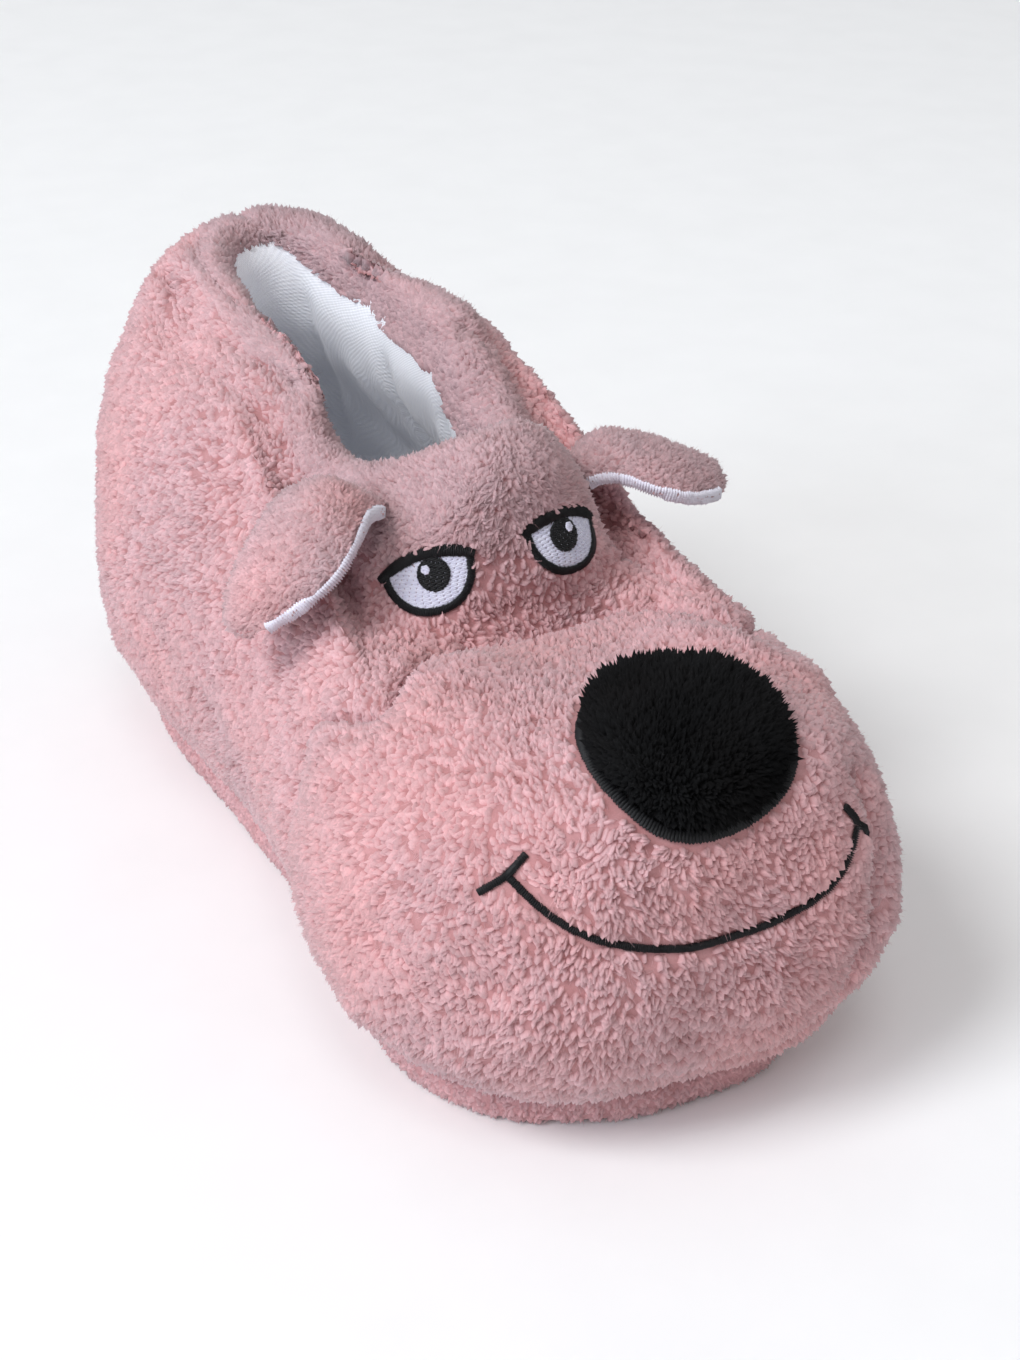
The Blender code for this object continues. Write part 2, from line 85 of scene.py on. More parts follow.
# Rings of the upper, from the sole edge up the outside, over the collar and down the lining.
# front, muzzle_at, quarter_at and back are shares of LENGTH, counted from the heel.
# muzzle_half is a share of half MUZZLE_WIDTH, waist_half and quarter_half of half QUARTER_WIDTH.
# z_front and z_muzzle are shares of MUZZLE_HEIGHT above the sole, z_quarter and z_back of COLLAR_HEIGHT
# above the sole. inside is the share of PADDING by which the ring lies in from those places.
RING_COLUMNS = (
    "name", "front", "muzzle_at", "quarter_at", "back", "muzzle_half", "waist_half", "quarter_half",
    "z_front", "z_muzzle", "z_quarter", "z_back", "inside")
RINGS = (
    ("sole edge", 0.920, 0.76, 0.26, 0.045, 0.74, 0.73, 0.73, 0.000, 0.000, 0.000, 0.000, 0.0),
    ("turn", 0.960, 0.76, 0.26, 0.022, 0.87, 0.85, 0.87, 0.085, 0.085, 0.079, 0.079, 0.0),
    ("lower bulge", 0.990, 0.76, 0.26, 0.005, 0.97, 0.93, 0.98, 0.253, 0.253, 0.215, 0.215, 0.0),
    ("widest", 1.000, 0.76, 0.27, 0.000, 1.00, 0.94, 1.00, 0.434, 0.434, 0.379, 0.411, 0.0),
    ("upper bulge", 0.994, 0.76, 0.28, 0.003, 0.97, 0.90, 0.97, 0.627, 0.615, 0.542, 0.607, 0.0),
    ("shoulder", 0.980, 0.75, 0.29, 0.008, 0.90, 0.85, 0.90, 0.819, 0.755, 0.673, 0.760, 0.0),
    ("muzzle top", 0.945, 0.74, 0.30, 0.014, 0.79, 0.78, 0.81, 0.960, 0.850, 0.766, 0.858, 0.0),
    ("bridge", 0.865, 0.71, 0.31, 0.024, 0.67, 0.69, 0.71, 1.000, 0.905, 0.837, 0.924, 0.0),
    ("muzzle root", 0.760, 0.65, 0.32, 0.030, 0.60, 0.65, 0.66, 0.955, 0.915, 0.864, 0.946, 0.0),
    ("head seam", 0.652, 0.59, 0.32, 0.036, 0.55, 0.61, 0.61, 0.875, 0.925, 0.886, 0.962, 0.0),
    ("brow", 0.632, 0.54, 0.32, 0.050, 0.50, 0.54, 0.53, 1.022, 1.020, 0.918, 0.989, 0.0),
    ("collar side", 0.607, 0.49, 0.33, 0.068, 0.42, 0.46, 0.46, 1.249, 1.147, 0.940, 1.000, 0.0),
    ("collar top", 0.589, 0.46, 0.33, 0.068, 0.44, 0.48, 0.47, 1.339, 1.181, 0.940, 0.995, 0.5),
    ("collar inner", 0.575, 0.44, 0.33, 0.065, 0.46, 0.50, 0.50, 1.249, 1.125, 0.891, 0.946, 1.0),
    ("facing edge", 0.564, 0.43, 0.33, 0.069, 0.45, 0.50, 0.49, 1.000, 0.921, 0.727, 0.782, 1.0),
    ("lining top", 0.627, 0.50, 0.33, 0.037, 0.65, 0.71, 0.74, 0.808, 0.787, 0.496, 0.569, 1.0),
    ("toe room roof", 0.793, 0.64, 0.32, 0.017, 0.71, 0.77, 0.83, 0.637, 0.573, 0.349, 0.386, 1.0),
    ("toe room front", 0.903, 0.72, 0.30, 0.010, 0.80, 0.84, 0.88, 0.402, 0.349, 0.203, 0.203, 1.0),
    ("lining bottom", 0.917, 0.74, 0.28, 0.023, 0.82, 0.84, 0.86, 0.125, 0.104, 0.056, 0.056, 1.0),
    ("lining edge", 0.895, 0.74, 0.28, 0.040, 0.77, 0.79, 0.81, 0.000, 0.000, 0.000, 0.000, 1.0),
)

COLLAR_TOP = [row[0] for row in RINGS].index("collar top")

# Soft folds of the slack collar and quarters. Each runs between two places on the outside, given as a
# ring and a share of the way round, on side -1 (right) or +1 (left).
# depth and width are shares of PADDING.
FOLD_COLUMNS = ("name", "side", "from_ring", "from_turn", "to_ring", "to_turn", "depth", "width")
FOLDS = (
    ("right collar fold", -1, 9.2, 0.80, 11.3, 0.57, 0.40, 0.80),
    ("left collar fold", 1, 12.0, 0.80, 9.0, 0.74, 0.35, 0.90),
    ("right waist fold", -1, 8.6, 0.47, 4.0, 0.44, 0.22, 1.10),
    ("left waist fold", 1, 8.6, 0.47, 4.0, 0.44, 0.22, 1.10),
)
RINGS_ARRAY = np.array([row[1:] for row in RINGS])
LAST_RING = len(RINGS) - 1.0


def blend(a, b, t):
    """Give the value at a share of the way between two values."""
    return a + (b - a) * t


def ease(t):
    """Give a share that starts and ends softly, held between 0 and 1."""
    t = np.clip(t, 0.0, 1.0)
    return t * t * (3.0 - 2.0 * t)


def unit(vectors):
    """Give each vector a length of one."""
    return vectors / np.maximum(np.linalg.norm(vectors, axis=-1, keepdims=True), 1e-12)


def read_rings(place):
    """Read every column of the ring table on a smooth curve, at places counted in rings."""
    last = len(RINGS_ARRAY) - 1
    i = np.clip(place.astype(int), 0, last - 1)
    t = (place - i)[..., None]
    before = RINGS_ARRAY[np.maximum(i - 1, 0)]
    here = RINGS_ARRAY[i]
    after = RINGS_ARRAY[i + 1]
    beyond = RINGS_ARRAY[np.minimum(i + 2, last)]
    values = 0.5 * (
        2.0 * here + (after - before) * t
        + (2.0 * before - 5.0 * here + 4.0 * after - beyond) * t * t
        + (3.0 * here - before - 3.0 * after + beyond) * t * t * t)
    return dict(zip(RING_COLUMNS[1:], np.moveaxis(values, -1, 0)))


def place_on_foot(across, along, height):
    """Turn places across and along the straight slipper into points on the bent one."""
    distance = np.linspace(0.0, SPINE_REACH * LENGTH, SPINE_POINTS)
    headings = SWING * ease((distance / LENGTH - SWING_FROM) / (SWING_TO - SWING_FROM))
    step = distance[1]
    sideways = np.cumsum(np.sin(headings)) * step
    forward = np.cumsum(np.cos(headings)) * step - step
    heading = np.interp(along, distance, headings)
    x = np.interp(along, distance, sideways) + across * np.cos(heading)
    from_heel = np.interp(along, distance, forward) - across * np.sin(heading)
    return np.stack([x, LENGTH / 2 - from_heel, height + 0.0 * x], axis=-1)


def form_point(place, turn):
    """Give the points of the upper's plain form, without its folds."""
    place, turn = np.broadcast_arrays(np.asarray(place, float), np.asarray(turn, float))
    values = read_rings(place)
    side = np.where(turn < 0.0, -1.0, 1.0)
    share = np.clip(np.abs(turn), 0.0, 1.0)
    inset = values["inside"] * PADDING
    half_muzzle = values["muzzle_half"] * MUZZLE_WIDTH / 2 - inset
    half_waist = values["waist_half"] * QUARTER_WIDTH / 2 - inset
    half_quarter = values["quarter_half"] * QUARTER_WIDTH / 2 - inset
    front = values["front"] * LENGTH - inset
    muzzle_at = values["muzzle_at"] * LENGTH
    quarter_at = values["quarter_at"] * LENGTH
    back = values["back"] * LENGTH + inset
    base = SOLE_THICKNESS + CLEARANCE
    z_front = blend(base, MUZZLE_HEIGHT, values["z_front"])
    z_muzzle = blend(base, MUZZLE_HEIGHT, values["z_muzzle"])
    z_quarter = blend(base, COLLAR_HEIGHT, values["z_quarter"])
    z_back = blend(base, COLLAR_HEIGHT, values["z_back"])
    power = 2.0 / BLUNTNESS
    toe_power = 2.0 / np.where(side > 0.0, LEFT_TOE_BLUNTNESS, RIGHT_TOE_BLUNTNESS)
    toe = np.clip(share / MUZZLE_SIDE, 0.0, 1.0) * math.pi / 2
    middle = np.clip((share - MUZZLE_SIDE) / (QUARTER_SIDE - MUZZLE_SIDE), 0.0, 1.0)
    heel = np.clip((share - QUARTER_SIDE) / (1.0 - QUARTER_SIDE), 0.0, 1.0) * math.pi / 2
    in_toe = share < MUZZLE_SIDE
    in_middle = share < QUARTER_SIDE
    swell = (half_waist - (half_muzzle + half_quarter) / 2) * np.sin(math.pi * middle) ** 2
    toe_cos = np.maximum(np.cos(toe), 0.0)
    heel_cos = np.maximum(np.cos(heel), 0.0)
    across = np.where(in_toe, half_muzzle * np.sin(toe) ** toe_power, np.where(
        in_middle, blend(half_muzzle, half_quarter, ease(middle)) + swell,
        half_quarter * heel_cos ** power))
    along = np.where(in_toe, blend(muzzle_at, front, toe_cos ** toe_power), np.where(
        in_middle, blend(muzzle_at, quarter_at, middle),
        blend(quarter_at, back, np.sin(heel) ** power)))
    height = np.where(in_toe, blend(z_muzzle, z_front, toe_cos ** 2), np.where(
        in_middle, blend(z_muzzle, z_quarter, ease(middle)),
        blend(z_quarter, z_back, np.sin(heel) ** 2)))
    return place_on_foot(side * across, along, height)


def distance_to_path(points, path):
    """Give the distance of each point to a path of straight pieces."""
    nearest = np.full(points.shape[:-1], np.inf)
    for start, end in zip(path[:-1], path[1:]):
        along = end - start
        t = np.clip(((points - start) @ along) / max(along @ along, 1e-12), 0.0, 1.0)
        nearest = np.minimum(nearest, np.linalg.norm(points - start - t[..., None] * along, axis=-1))
    return nearest


def smooth_path(corners, steps=8):
    """Give close points on a smooth curve through a few (ring, turn) places."""
    corners = np.array(corners, float)
    padded = np.concatenate([corners[:1], corners, corners[-1:]])
    t = (np.arange(steps) / steps)[:, None]
    pieces = []
    for a, b, c, d in zip(padded[:-3], padded[1:-2], padded[2:-1], padded[3:]):
        pieces.append(0.5 * (
            2 * b + (c - a) * t + (2 * a - 5 * b + 4 * c - d) * t * t + (3 * b - a - 3 * c + d) * t ** 3))
    return np.concatenate(pieces + [corners[-1:]])


def waves(points, size, seed, count=14):
    """Give soft random heights between about -1 and 1, with hills about the given size across."""
    source = np.random.default_rng(seed)
    ways = unit(source.normal(size=(count, 3))) * source.uniform(0.7, 1.4, (count, 1)) * math.pi / size
    starts = source.uniform(0.0, 2.0 * math.pi, count)
    return np.sin(points @ ways.T + starts).sum(axis=-1) / math.sqrt(count)


def lumps(points, heights):
    """Give soft random heights, summed from waves given as height, size and seed, in millimetres."""
    return sum(height * MM * waves(points, size * MM, seed) for height, size, seed in heights)


def along_skin(ways, normals):
    """Turn directions so that they run along the skin."""
    return unit(ways - normals * (ways * normals).sum(axis=-1, keepdims=True))


def inward_level(points):
    """Give the level direction into the upper for a grid of points, ring by ring."""
    forward = np.roll(points, 1, axis=1) - np.roll(points, -1, axis=1)
    return unit(np.stack([forward[..., 1], -forward[..., 0], 0.0 * forward[..., 0]], axis=-1))


def grid_normals(points):
    """Give the normals out of the padding for a grid of points, ring by ring."""
    up = np.gradient(points, axis=0)
    round_it = np.roll(points, -1, axis=1) - np.roll(points, 1, axis=1)
    return unit(np.cross(round_it, up))


def big_folds(points, places):
    """Press in the upper's own soft folds, as its solid has them."""
    fade = ease(COLLAR_TOP + 1.0 - places)[:, None]
    push = np.zeros(points.shape[:2])
    for row in FOLDS:
        fold = dict(zip(FOLD_COLUMNS, row))
        start = form_point(fold["from_ring"], fold["side"] * fold["from_turn"])
        end = form_point(fold["to_ring"], fold["side"] * fold["to_turn"])
        distance = distance_to_path(points, [start, end])
        push += fold["depth"] * PADDING * np.exp(-(distance / (fold["width"] * PADDING)) ** 2)
    return points + inward_level(points) * (push * fade)[..., None]


# The smile: a plain curved line with a short tick across each end, as (ring, turn) places
SMILE = ((4.9, -0.165), (4.25, -0.11), (3.9, -0.04), (3.85, 0.02), (4.1, 0.075), (4.75, 0.122))
SMILE_TICKS = (
    ((5.25, -0.150), (4.9, -0.165), (4.6, -0.185)),
    ((5.1, 0.107), (4.75, 0.122), (4.45, 0.142)),
)
SMILE_WIDTH = 2.0

# Creases placed in the fleece: a path of (ring, turn) places, then depth and half width in
# millimetres. A depth below 0 is a ridge.
CREASES = (
    ("head seam, right", ((5.2, -0.42), (6.3, -0.375), (7.6, -0.30), (8.5, -0.20), (8.9, -0.10)), 4.3, 2.0),
    ("head seam, middle", ((8.9, -0.10), (9.0, 0.0), (9.0, 0.10), (8.7, 0.20)), 4.0, 2.0),
    ("head seam, left", ((8.7, 0.20), (7.8, 0.29), (6.6, 0.36), (5.2, 0.41)), 4.3, 2.0),
    ("muzzle over the seam, right", ((5.0, -0.37), (6.2, -0.32), (7.5, -0.24), (8.2, -0.14)), -2.2, 6.6),
    ("muzzle over the seam, left", ((8.1, 0.13), (7.3, 0.23), (6.2, 0.31), (5.0, 0.36)), -2.2, 6.6),
    ("waist, right", ((5.4, -0.43), (4.0, -0.435), (2.5, -0.43), (1.2, -0.42)), 2.4, 4.8),
    ("waist, left", ((5.4, 0.42), (4.0, 0.43), (2.4, 0.44)), 2.2, 4.8),
    ("muzzle dart", ((5.4, 0.150), (4.4, 0.140), (3.2, 0.125), (1.8, 0.10)), 2.6, 3.0),
    ("beside the dart", ((5.0, 0.185), (3.8, 0.175), (2.6, 0.15)), -1.6, 4.8),
    ("chin wrinkle, upper", ((2.5, -0.02), (2.3, 0.03), (2.4, 0.09)), 1.6, 2.3),
    ("chin wrinkle, lower", ((1.7, -0.06), (1.5, 0.0), (1.5, 0.06), (1.8, 0.11)), 1.9, 2.5),
    ("chin wrinkle, left", ((3.0, 0.10), (2.6, 0.13), (2.5, 0.17)), 1.4, 2.5),
    ("bottom gather, right", ((1.3, -0.30), (1.1, -0.25), (1.2, -0.19)), 1.2, 2.5),
    ("collar, right deep", ((8.8, -0.86), (9.8, -0.76), (10.8, -0.66), (11.5, -0.58)), 3.5, 2.8),
    ("collar, right lower", ((8.0, -0.80), (8.9, -0.70), (9.6, -0.60)), 2.0, 3.8),
    ("collar, right upper", ((10.6, -0.90), (11.3, -0.83), (11.9, -0.76)), 2.3, 3.4),
    ("collar, left deep", ((12.4, 0.83), (11.4, 0.80), (10.2, 0.77), (9.0, 0.74)), 3.2, 3.0),
    ("collar, left short", ((12.6, 0.60), (11.8, 0.62), (10.9, 0.60)), 2.4, 3.2),
    ("collar, front", ((12.2, 0.26), (11.7, 0.30), (11.0, 0.31)), 2.2, 3.4),
    ("under the right ear", ((9.8, -0.40), (9.0, -0.42), (8.2, -0.45)), 2.3, 3.2),
    ("under the left ear", ((9.6, 0.38), (8.8, 0.41), (8.0, 0.44)), 2.3, 3.2),
    ("quarter, right", ((6.6, -0.66), (6.0, -0.58), (5.6, -0.52)), 1.5, 4.8),
    ("quarter, left", ((6.8, 0.68), (6.1, 0.59), (5.7, 0.52)), 1.5, 4.8),
    ("heel seam", ((11.6, 1.0), (9.0, 1.0), (6.0, 1.0), (3.0, 1.0), (0.8, 1.0)), 2.0, 2.1),
    ("mouth bed", SMILE, 1.2, 2.3),
)

# Soft folds of the slack lining, in the same form as the creases
LINING_FOLDS = (
    ("long fold, left wall", ((13.6, 0.60), (14.4, 0.55), (15.4, 0.47), (16.6, 0.42)), 3.6, 2.2),
    ("beside it", ((14.2, 0.63), (14.9, 0.59), (15.8, 0.52)), -2.0, 4.0),
    ("second fold, left wall", ((13.4, 0.77), (14.6, 0.73), (16.4, 0.66)), 3.0, 2.6),
    ("beside the second", ((14.2, 0.81), (15.0, 0.77), (16.4, 0.71)), -1.8, 4.4),
    ("short fold, left wall", ((13.7, 0.43), (14.5, 0.39), (15.3, 0.36)), 2.0, 2.4),
    ("heel fold, left", ((13.2, 0.92), (14.6, 0.89), (17.0, 0.87)), 2.4, 3.0),
    ("heel fold, right", ((14.0, -0.88), (15.4, -0.86), (17.0, -0.85)), 1.6, 3.0),
    ("long fold, right wall", ((14.0, -0.62), (15.2, -0.57), (16.8, -0.52)), 2.2, 2.6),
    ("second fold, right wall", ((14.0, -0.76), (15.2, -0.72), (16.6, -0.68)), 1.6, 3.0),
    ("instep fold", ((14.2, -0.16), (15.4, -0.12), (16.6, -0.10)), 1.4, 3.0),
)

# Soft lumps: height, size and seed of each layer
FLEECE_LUMPS = ((0.9, 30, 3), (0.45, 11, 4))
LINING_LUMPS = ((0.8, 26, 8), (0.25, 8, 9))
SOLE_LUMPS = ((0.35, 18, 61),)
UNDERSIDE_LUMPS = ((0.12, 12, 62),)
FOOTBED_LUMPS = ((0.25, 22, 71),)


class Cloth:
    """A grid of skin, ring by ring, that seams, stitches and pile are set on."""

    def __init__(self, points, places, turns):
        self.points = points
        self.places = places
        self.turns = turns
        self.normals = grid_normals(points)

    def corners(self, rows, columns):
        """Give the four grid corners round fractional rows and columns, with their shares."""
        low = np.clip(rows.astype(int), 0, len(self.places) - 2)
        near = np.floor(columns).astype(int)
        up = (rows - low)[..., None]
        on = (columns - near)[..., None]
        count = len(self.turns)
        near = near % count
        far = (near + 1) % count
        return (
            (low, near, (1 - up) * (1 - on)), (low, far, (1 - up) * on),
            (low + 1, near, up * (1 - on)), (low + 1, far, up * on))

    def read(self, values, rows, columns):
        """Read a grid of vectors at fractional rows and columns."""
        return sum(values[r, c] * share for r, c, share in self.corners(rows, columns))

    def at(self, place, turn):
        """Give the skin's points and normals at (ring, turn) places."""
        step = self.places[1] - self.places[0]
        rows = (np.asarray(place, float) - self.places[0]) / step
        columns = (np.asarray(turn, float) + 1.0) / 2.0 * len(self.turns)
        return self.read(self.points, rows, columns), unit(self.read(self.normals, rows, columns))

    def scatter(self, count, density):
        """Choose places spread over the skin as densely as a grid of weights says."""
        along = np.roll(self.points, -1, axis=1) - self.points
        area = np.linalg.norm(np.cross(along[:-1], self.points[1:] - self.points[:-1]), axis=-1)
        weight = (area * density[:-1]).ravel()
        cells = rng.choice(len(weight), count, p=weight / weight.sum())
        rows = cells // len(self.turns) + rng.random(count)
        columns = cells % len(self.turns) + rng.random(count)
        return rows, columns


def turns_of(count):
    """Give evenly spaced turns, from the back by the right side once round."""
    return -1.0 + 2.0 * np.arange(count) / count


def circle(count):
    """Give evenly spaced angles once round."""
    return np.linspace(0.0, 2.0 * math.pi, count, endpoint=False)


# Where the facing's hem lies, as a ring, at turns from the back by the right side to the back by the left
HEM_TURNS = (-1.0, -0.9, -0.75, -0.5, -0.25, 0.0, 0.25, 0.5, 0.75, 0.9, 1.0)
HEM_RINGS = (12.90, 13.00, 13.10, 13.30, 13.60, 13.90, 13.75, 13.50, 13.42, 13.20, 12.90)
# Its unevenness: waves with a height in rings, a rate and a start
HEM_WAVES = ((0.025, 37.0, 0.0), (0.020, 83.0, 1.0), (0.012, 171.0, 2.0))
# The lining runs up under the facing by so many rings, so far below it in millimetres
TUCK = 0.35
TUCK_DEPTH = 2.2


def hem_at(turns):
    """Give the ring of the facing's hem, which was cut and turned in a little unevenly."""
    uneven = sum(height * np.sin(turns * rate + start) for height, rate, start in HEM_WAVES)
    return np.interp(turns, HEM_TURNS, HEM_RINGS) + uneven


def press(points, creases):
    """Give how far creases press each point in."""
    depth = np.zeros(points.shape[:-1])
    for _, corners, deep, half_width in creases:
        line = smooth_path(corners, 4)
        path = form_point(line[:, 0], line[:, 1])
        reach = np.ptp(path, axis=0).max() + 4 * half_width * MM
        near = np.linalg.norm(points - path.mean(axis=0), axis=-1) < reach
        distance = distance_to_path(points[near], path)
        depth[near] += deep * MM * np.exp(-(distance / (half_width * MM)) ** 2)
    return depth


def fleece_cloth(rows, columns):
    """The upper's outside, collar and facing, under the pile."""
    places = np.linspace(0.0, HEM, rows)
    turns = turns_of(columns)
    turned_in = np.maximum(0.0, places - COLLAR_TOP)[:, None] / (HEM - COLLAR_TOP)
    facing = turned_in * (hem_at(turns) - COLLAR_TOP)[None, :]
    points = form_point(np.minimum(places, COLLAR_TOP)[:, None] + facing, turns[None, :])
    points = big_folds(points, places)
    normals = grid_normals(points)
    outside = ease((COLLAR_TOP + 0.6 - places) / 0.8)[:, None]
    loose = ease(places / 1.5)[:, None]
    height = -PILE_DEPTH - press(points, CREASES) * outside + lumps(points, FLEECE_LUMPS) * loose
    return Cloth(points + normals * height[..., None], places, turns)


def lining_cloth(rows, columns):
    """The cotton lining, from under the facing to the footbed."""
    turns = turns_of(columns)
    hem = hem_at(turns)[None, :]
    down = np.linspace(0.0, 1.0, rows)[:, None]
    places = hem - TUCK + down * (LAST_RING - hem + TUCK)
    points = form_point(places, turns[None, :])
    points = big_folds(points, places.mean(axis=1))
    normals = grid_normals(points)
    tucked = ease((hem + 0.45 - places) / 0.8)
    loose = ease((places - hem) / 0.6) * ease((LAST_RING - 0.2 - places) / 0.8)
    sunk = press(points, LINING_FOLDS) * loose
    height = -TUCK_DEPTH * MM * tucked - sunk + lumps(points, LINING_LUMPS) * loose
    return Cloth(points + normals * height[..., None], places.mean(axis=1), turns)


def add_object(name, data):
    """Put an object with its data into the scene."""
    made = bpy.data.objects.new(name, data)
    bpy.context.scene.collection.objects.link(made)
    return made


def mesh_piece(name, points, faces, finish, replaced=()):
    """Make a piece of the slipper of points and faces, with nothing below the floor."""
    material, slot = finish
    mesh = bpy.data.meshes.new(name)
    above = np.maximum(np.asarray(points, float).reshape(-1, 3), (-np.inf, -np.inf, 0.0))
    mesh.from_pydata(above.tolist(), [], faces)
    mesh.validate()
    mesh.materials.append(material)
    mesh.shade_smooth()
    made = add_object(name, mesh)
    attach(made, "root")
    if replaced:
        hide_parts(*replaced)
    return made


def paint_pile(piece, light_share, wear_and_shade, mixed):
    """Keep with each point its share of painted light, low deep in the pile and high at its ends, its share
    of wear and painted shade, and a random share.
    """
    layer = piece.data.attributes.new("pile", "FLOAT_COLOR", "POINT")
    values = np.ones((len(piece.data.vertices), 4), np.float32)
    values[:, 0] = light_share
    values[:, 1] = wear_and_shade
    values[:, 2] = mixed
    layer.data.foreach_set("color", values.ravel())


def grid_faces(rows, columns):
    """Give the faces of a grid that closes round, wound so that they face along its normals."""
    faces = []
    for start in range(0, (rows - 1) * columns, columns):
        for c in range(columns):
            d = (c + 1) % columns
            faces.append((start + c, start + d, start + columns + d, start + columns + c))
    return faces


def capped_faces(rows, columns):
    """Give the faces of such a grid, closed by a fan to one last point."""
    last = columns * (rows - 1)
    fan = [(last + k, last + (k + 1) % columns, last + columns) for k in range(columns)]
    return grid_faces(rows, columns) + fan


# The collar's pile is rubbed and darkened with painted shade from this ring on, and fully so many rings
# further
WEAR_AND_SHADE_FROM = 9.0
WEAR_AND_SHADE_OVER = 2.0


def wear_and_shade_share(points, places):
    """Give how grey and rubbed the ends of the pile are, and on the collar how much painted shade darkens
    them: most on the collar, and elsewhere in soft patches of wear.
    """
    collar_wear_and_shade = ease((places - WEAR_AND_SHADE_FROM) / WEAR_AND_SHADE_OVER)
    return np.clip(0.80 * collar_wear_and_shade + 0.22 * waves(points, 34 * MM, 21) + 0.08, 0.0, 1.0)


def comb(cloth, rows, columns, spread):
    """Give the nap's direction along the skin: down towards the sole, wandering in soft patches."""
    down = np.gradient(cloth.points, axis=0)
    down = -unit(cloth.read(down, rows, columns))
    points = cloth.read(cloth.points, rows, columns)
    normals = unit(cloth.read(cloth.normals, rows, columns))
    down = along_skin(down, normals)
    across = np.cross(normals, down)
    angle = 0.75 * waves(points, 26 * MM, 31) + 0.45 * waves(points, 7 * MM, 32)
    angle = angle + spread * rng.normal(size=len(angle))
    return down * np.cos(angle)[:, None] + across * np.sin(angle)[:, None]


# One lobe and one hair: the faces between their points, and each point's share of painted light: painted
# shade at the root and on the low sides, painted light on the tops and at the far end
LOBE_FACES = ((0, 1, 2), (0, 2, 3), (1, 5, 2), (1, 4, 5), (2, 6, 3), (2, 5, 6), (4, 7, 5), (5, 7, 6))
LOBE_LIGHT = (0.1, 0.3, 0.85, 0.3, 0.45, 1.0, 0.45, 0.85)
HAIR_FACES = ((0, 1, 3), (1, 2, 3), (2, 0, 3))
HAIR_LIGHT = (0.4, 0.4, 0.4, 1.0)
HAIR_CORNERS = (0.0, 2.1, 4.2)


def many(name, rows, shape, finish):
    """Make one piece of many like shapes, from a row for each of their points and one shape's faces."""
    first = len(rows) * np.arange(len(rows[0]))[:, None]
    faces = np.concatenate([first + corners for corners in shape])
    return mesh_piece(name, np.stack(rows, axis=1), faces.tolist(), finish)


def lobes(name, starts, ends, normals, wide, tall, finish, bend=0.0, near=0.25, far=0.75, swell=0.0):
    """Many small arched lobes, each from its start to its end.

    They are stitches, or curls of pile that swell at their far end.
    """
    count = len(starts)
    axis = ends - starts
    sides = unit(np.cross(normals, axis))
    wide = wide * np.ones(count) / 2
    tall = tall * np.ones(count)
    bend = bend * np.ones(count)

    def spot(along, beside, up):
        return starts + axis * along + sides * beside[:, None] + normals * up[:, None]

    low = -0.35 * tall
    rows = [spot(0.0, 0.0 * bend, low)]
    for along, swing, high in ((near, 0.4 * bend, tall), (far, bend, tall + swell)):
        rows += [spot(along, swing - wide, low), spot(along, swing, high), spot(along, swing + wide, low)]
    rows.append(spot(1.0, 1.6 * bend, low))
    return many(name, rows, LOBE_FACES, finish)


def dress(piece, light_shares, normals, wear_and_shade, soft):
    """Paint a piece of pile, and soften its shading.

    The shading turns by a share towards the skin below, as light scattered in the pile does.
    """
    count = len(normals)
    each = len(light_shares)
    # Each point gets its share of painted light and its share of wear and painted shade
    paint_pile(piece, np.tile(light_shares, count), np.repeat(wear_and_shade * np.ones(count), each),
               np.repeat(rng.random(count), each))
    own = np.empty(3 * count * each, np.float32)
    piece.data.vertex_normals.foreach_get("vector", own)
    mixed = unit(own.reshape(-1, 3) * (1.0 - soft) + np.repeat(normals, each, axis=0) * soft)
    piece.data.normals_split_custom_set_from_vertices(mixed.tolist())


def curls(name, roots, normals, leans, finish, wear_and_shade, scale, length, width, height, lift, soft):
    """Pile: short curled lobes that lie over each other along the nap, swollen at their far ends."""
    length, width, height, lift = (size * scale * MM for size in (length, width, height, lift))
    count = len(roots)
    half = leans * (length * rng.uniform(0.65, 1.35, count) / 2)[:, None]
    swell = lift * rng.uniform(0.0, 2.0, count)
    wide = width * rng.uniform(0.7, 1.3, count)
    tall = height * rng.uniform(0.6, 1.4, count)
    made = lobes(name, roots - half, roots + half, normals, wide, tall, finish,
                 bend=0.14 * length * rng.normal(size=count), near=0.30, far=0.76, swell=swell)
    dress(made, LOBE_LIGHT, normals, wear_and_shade, soft)


def fuzz(name, roots, normals, leans, finish, wear_and_shade, scale, length, width, tilt, soft):
    """Pile: single fine hairs that stand out of the curls."""
    count = len(roots)
    sides = unit(np.cross(normals, leans))
    angle = tilt + 0.35 * rng.normal(size=count)
    twist = 0.8 * rng.normal(size=count)
    way = (normals * np.cos(angle)[:, None] + leans * (np.sin(angle) * np.cos(twist))[:, None]
           + sides * (np.sin(angle) * np.sin(twist))[:, None])
    first = unit(np.cross(way, sides + 0.01))
    second = np.cross(way, first)
    rows = [roots + (first * math.cos(a) + second * math.sin(a)) * width * MM for a in HAIR_CORNERS]
    rows.append(roots + way * (length * scale * MM * rng.uniform(0.6, 1.4, count))[:, None])
    dress(many(name, rows, HAIR_FACES, finish), HAIR_LIGHT, normals, wear_and_shade, soft)


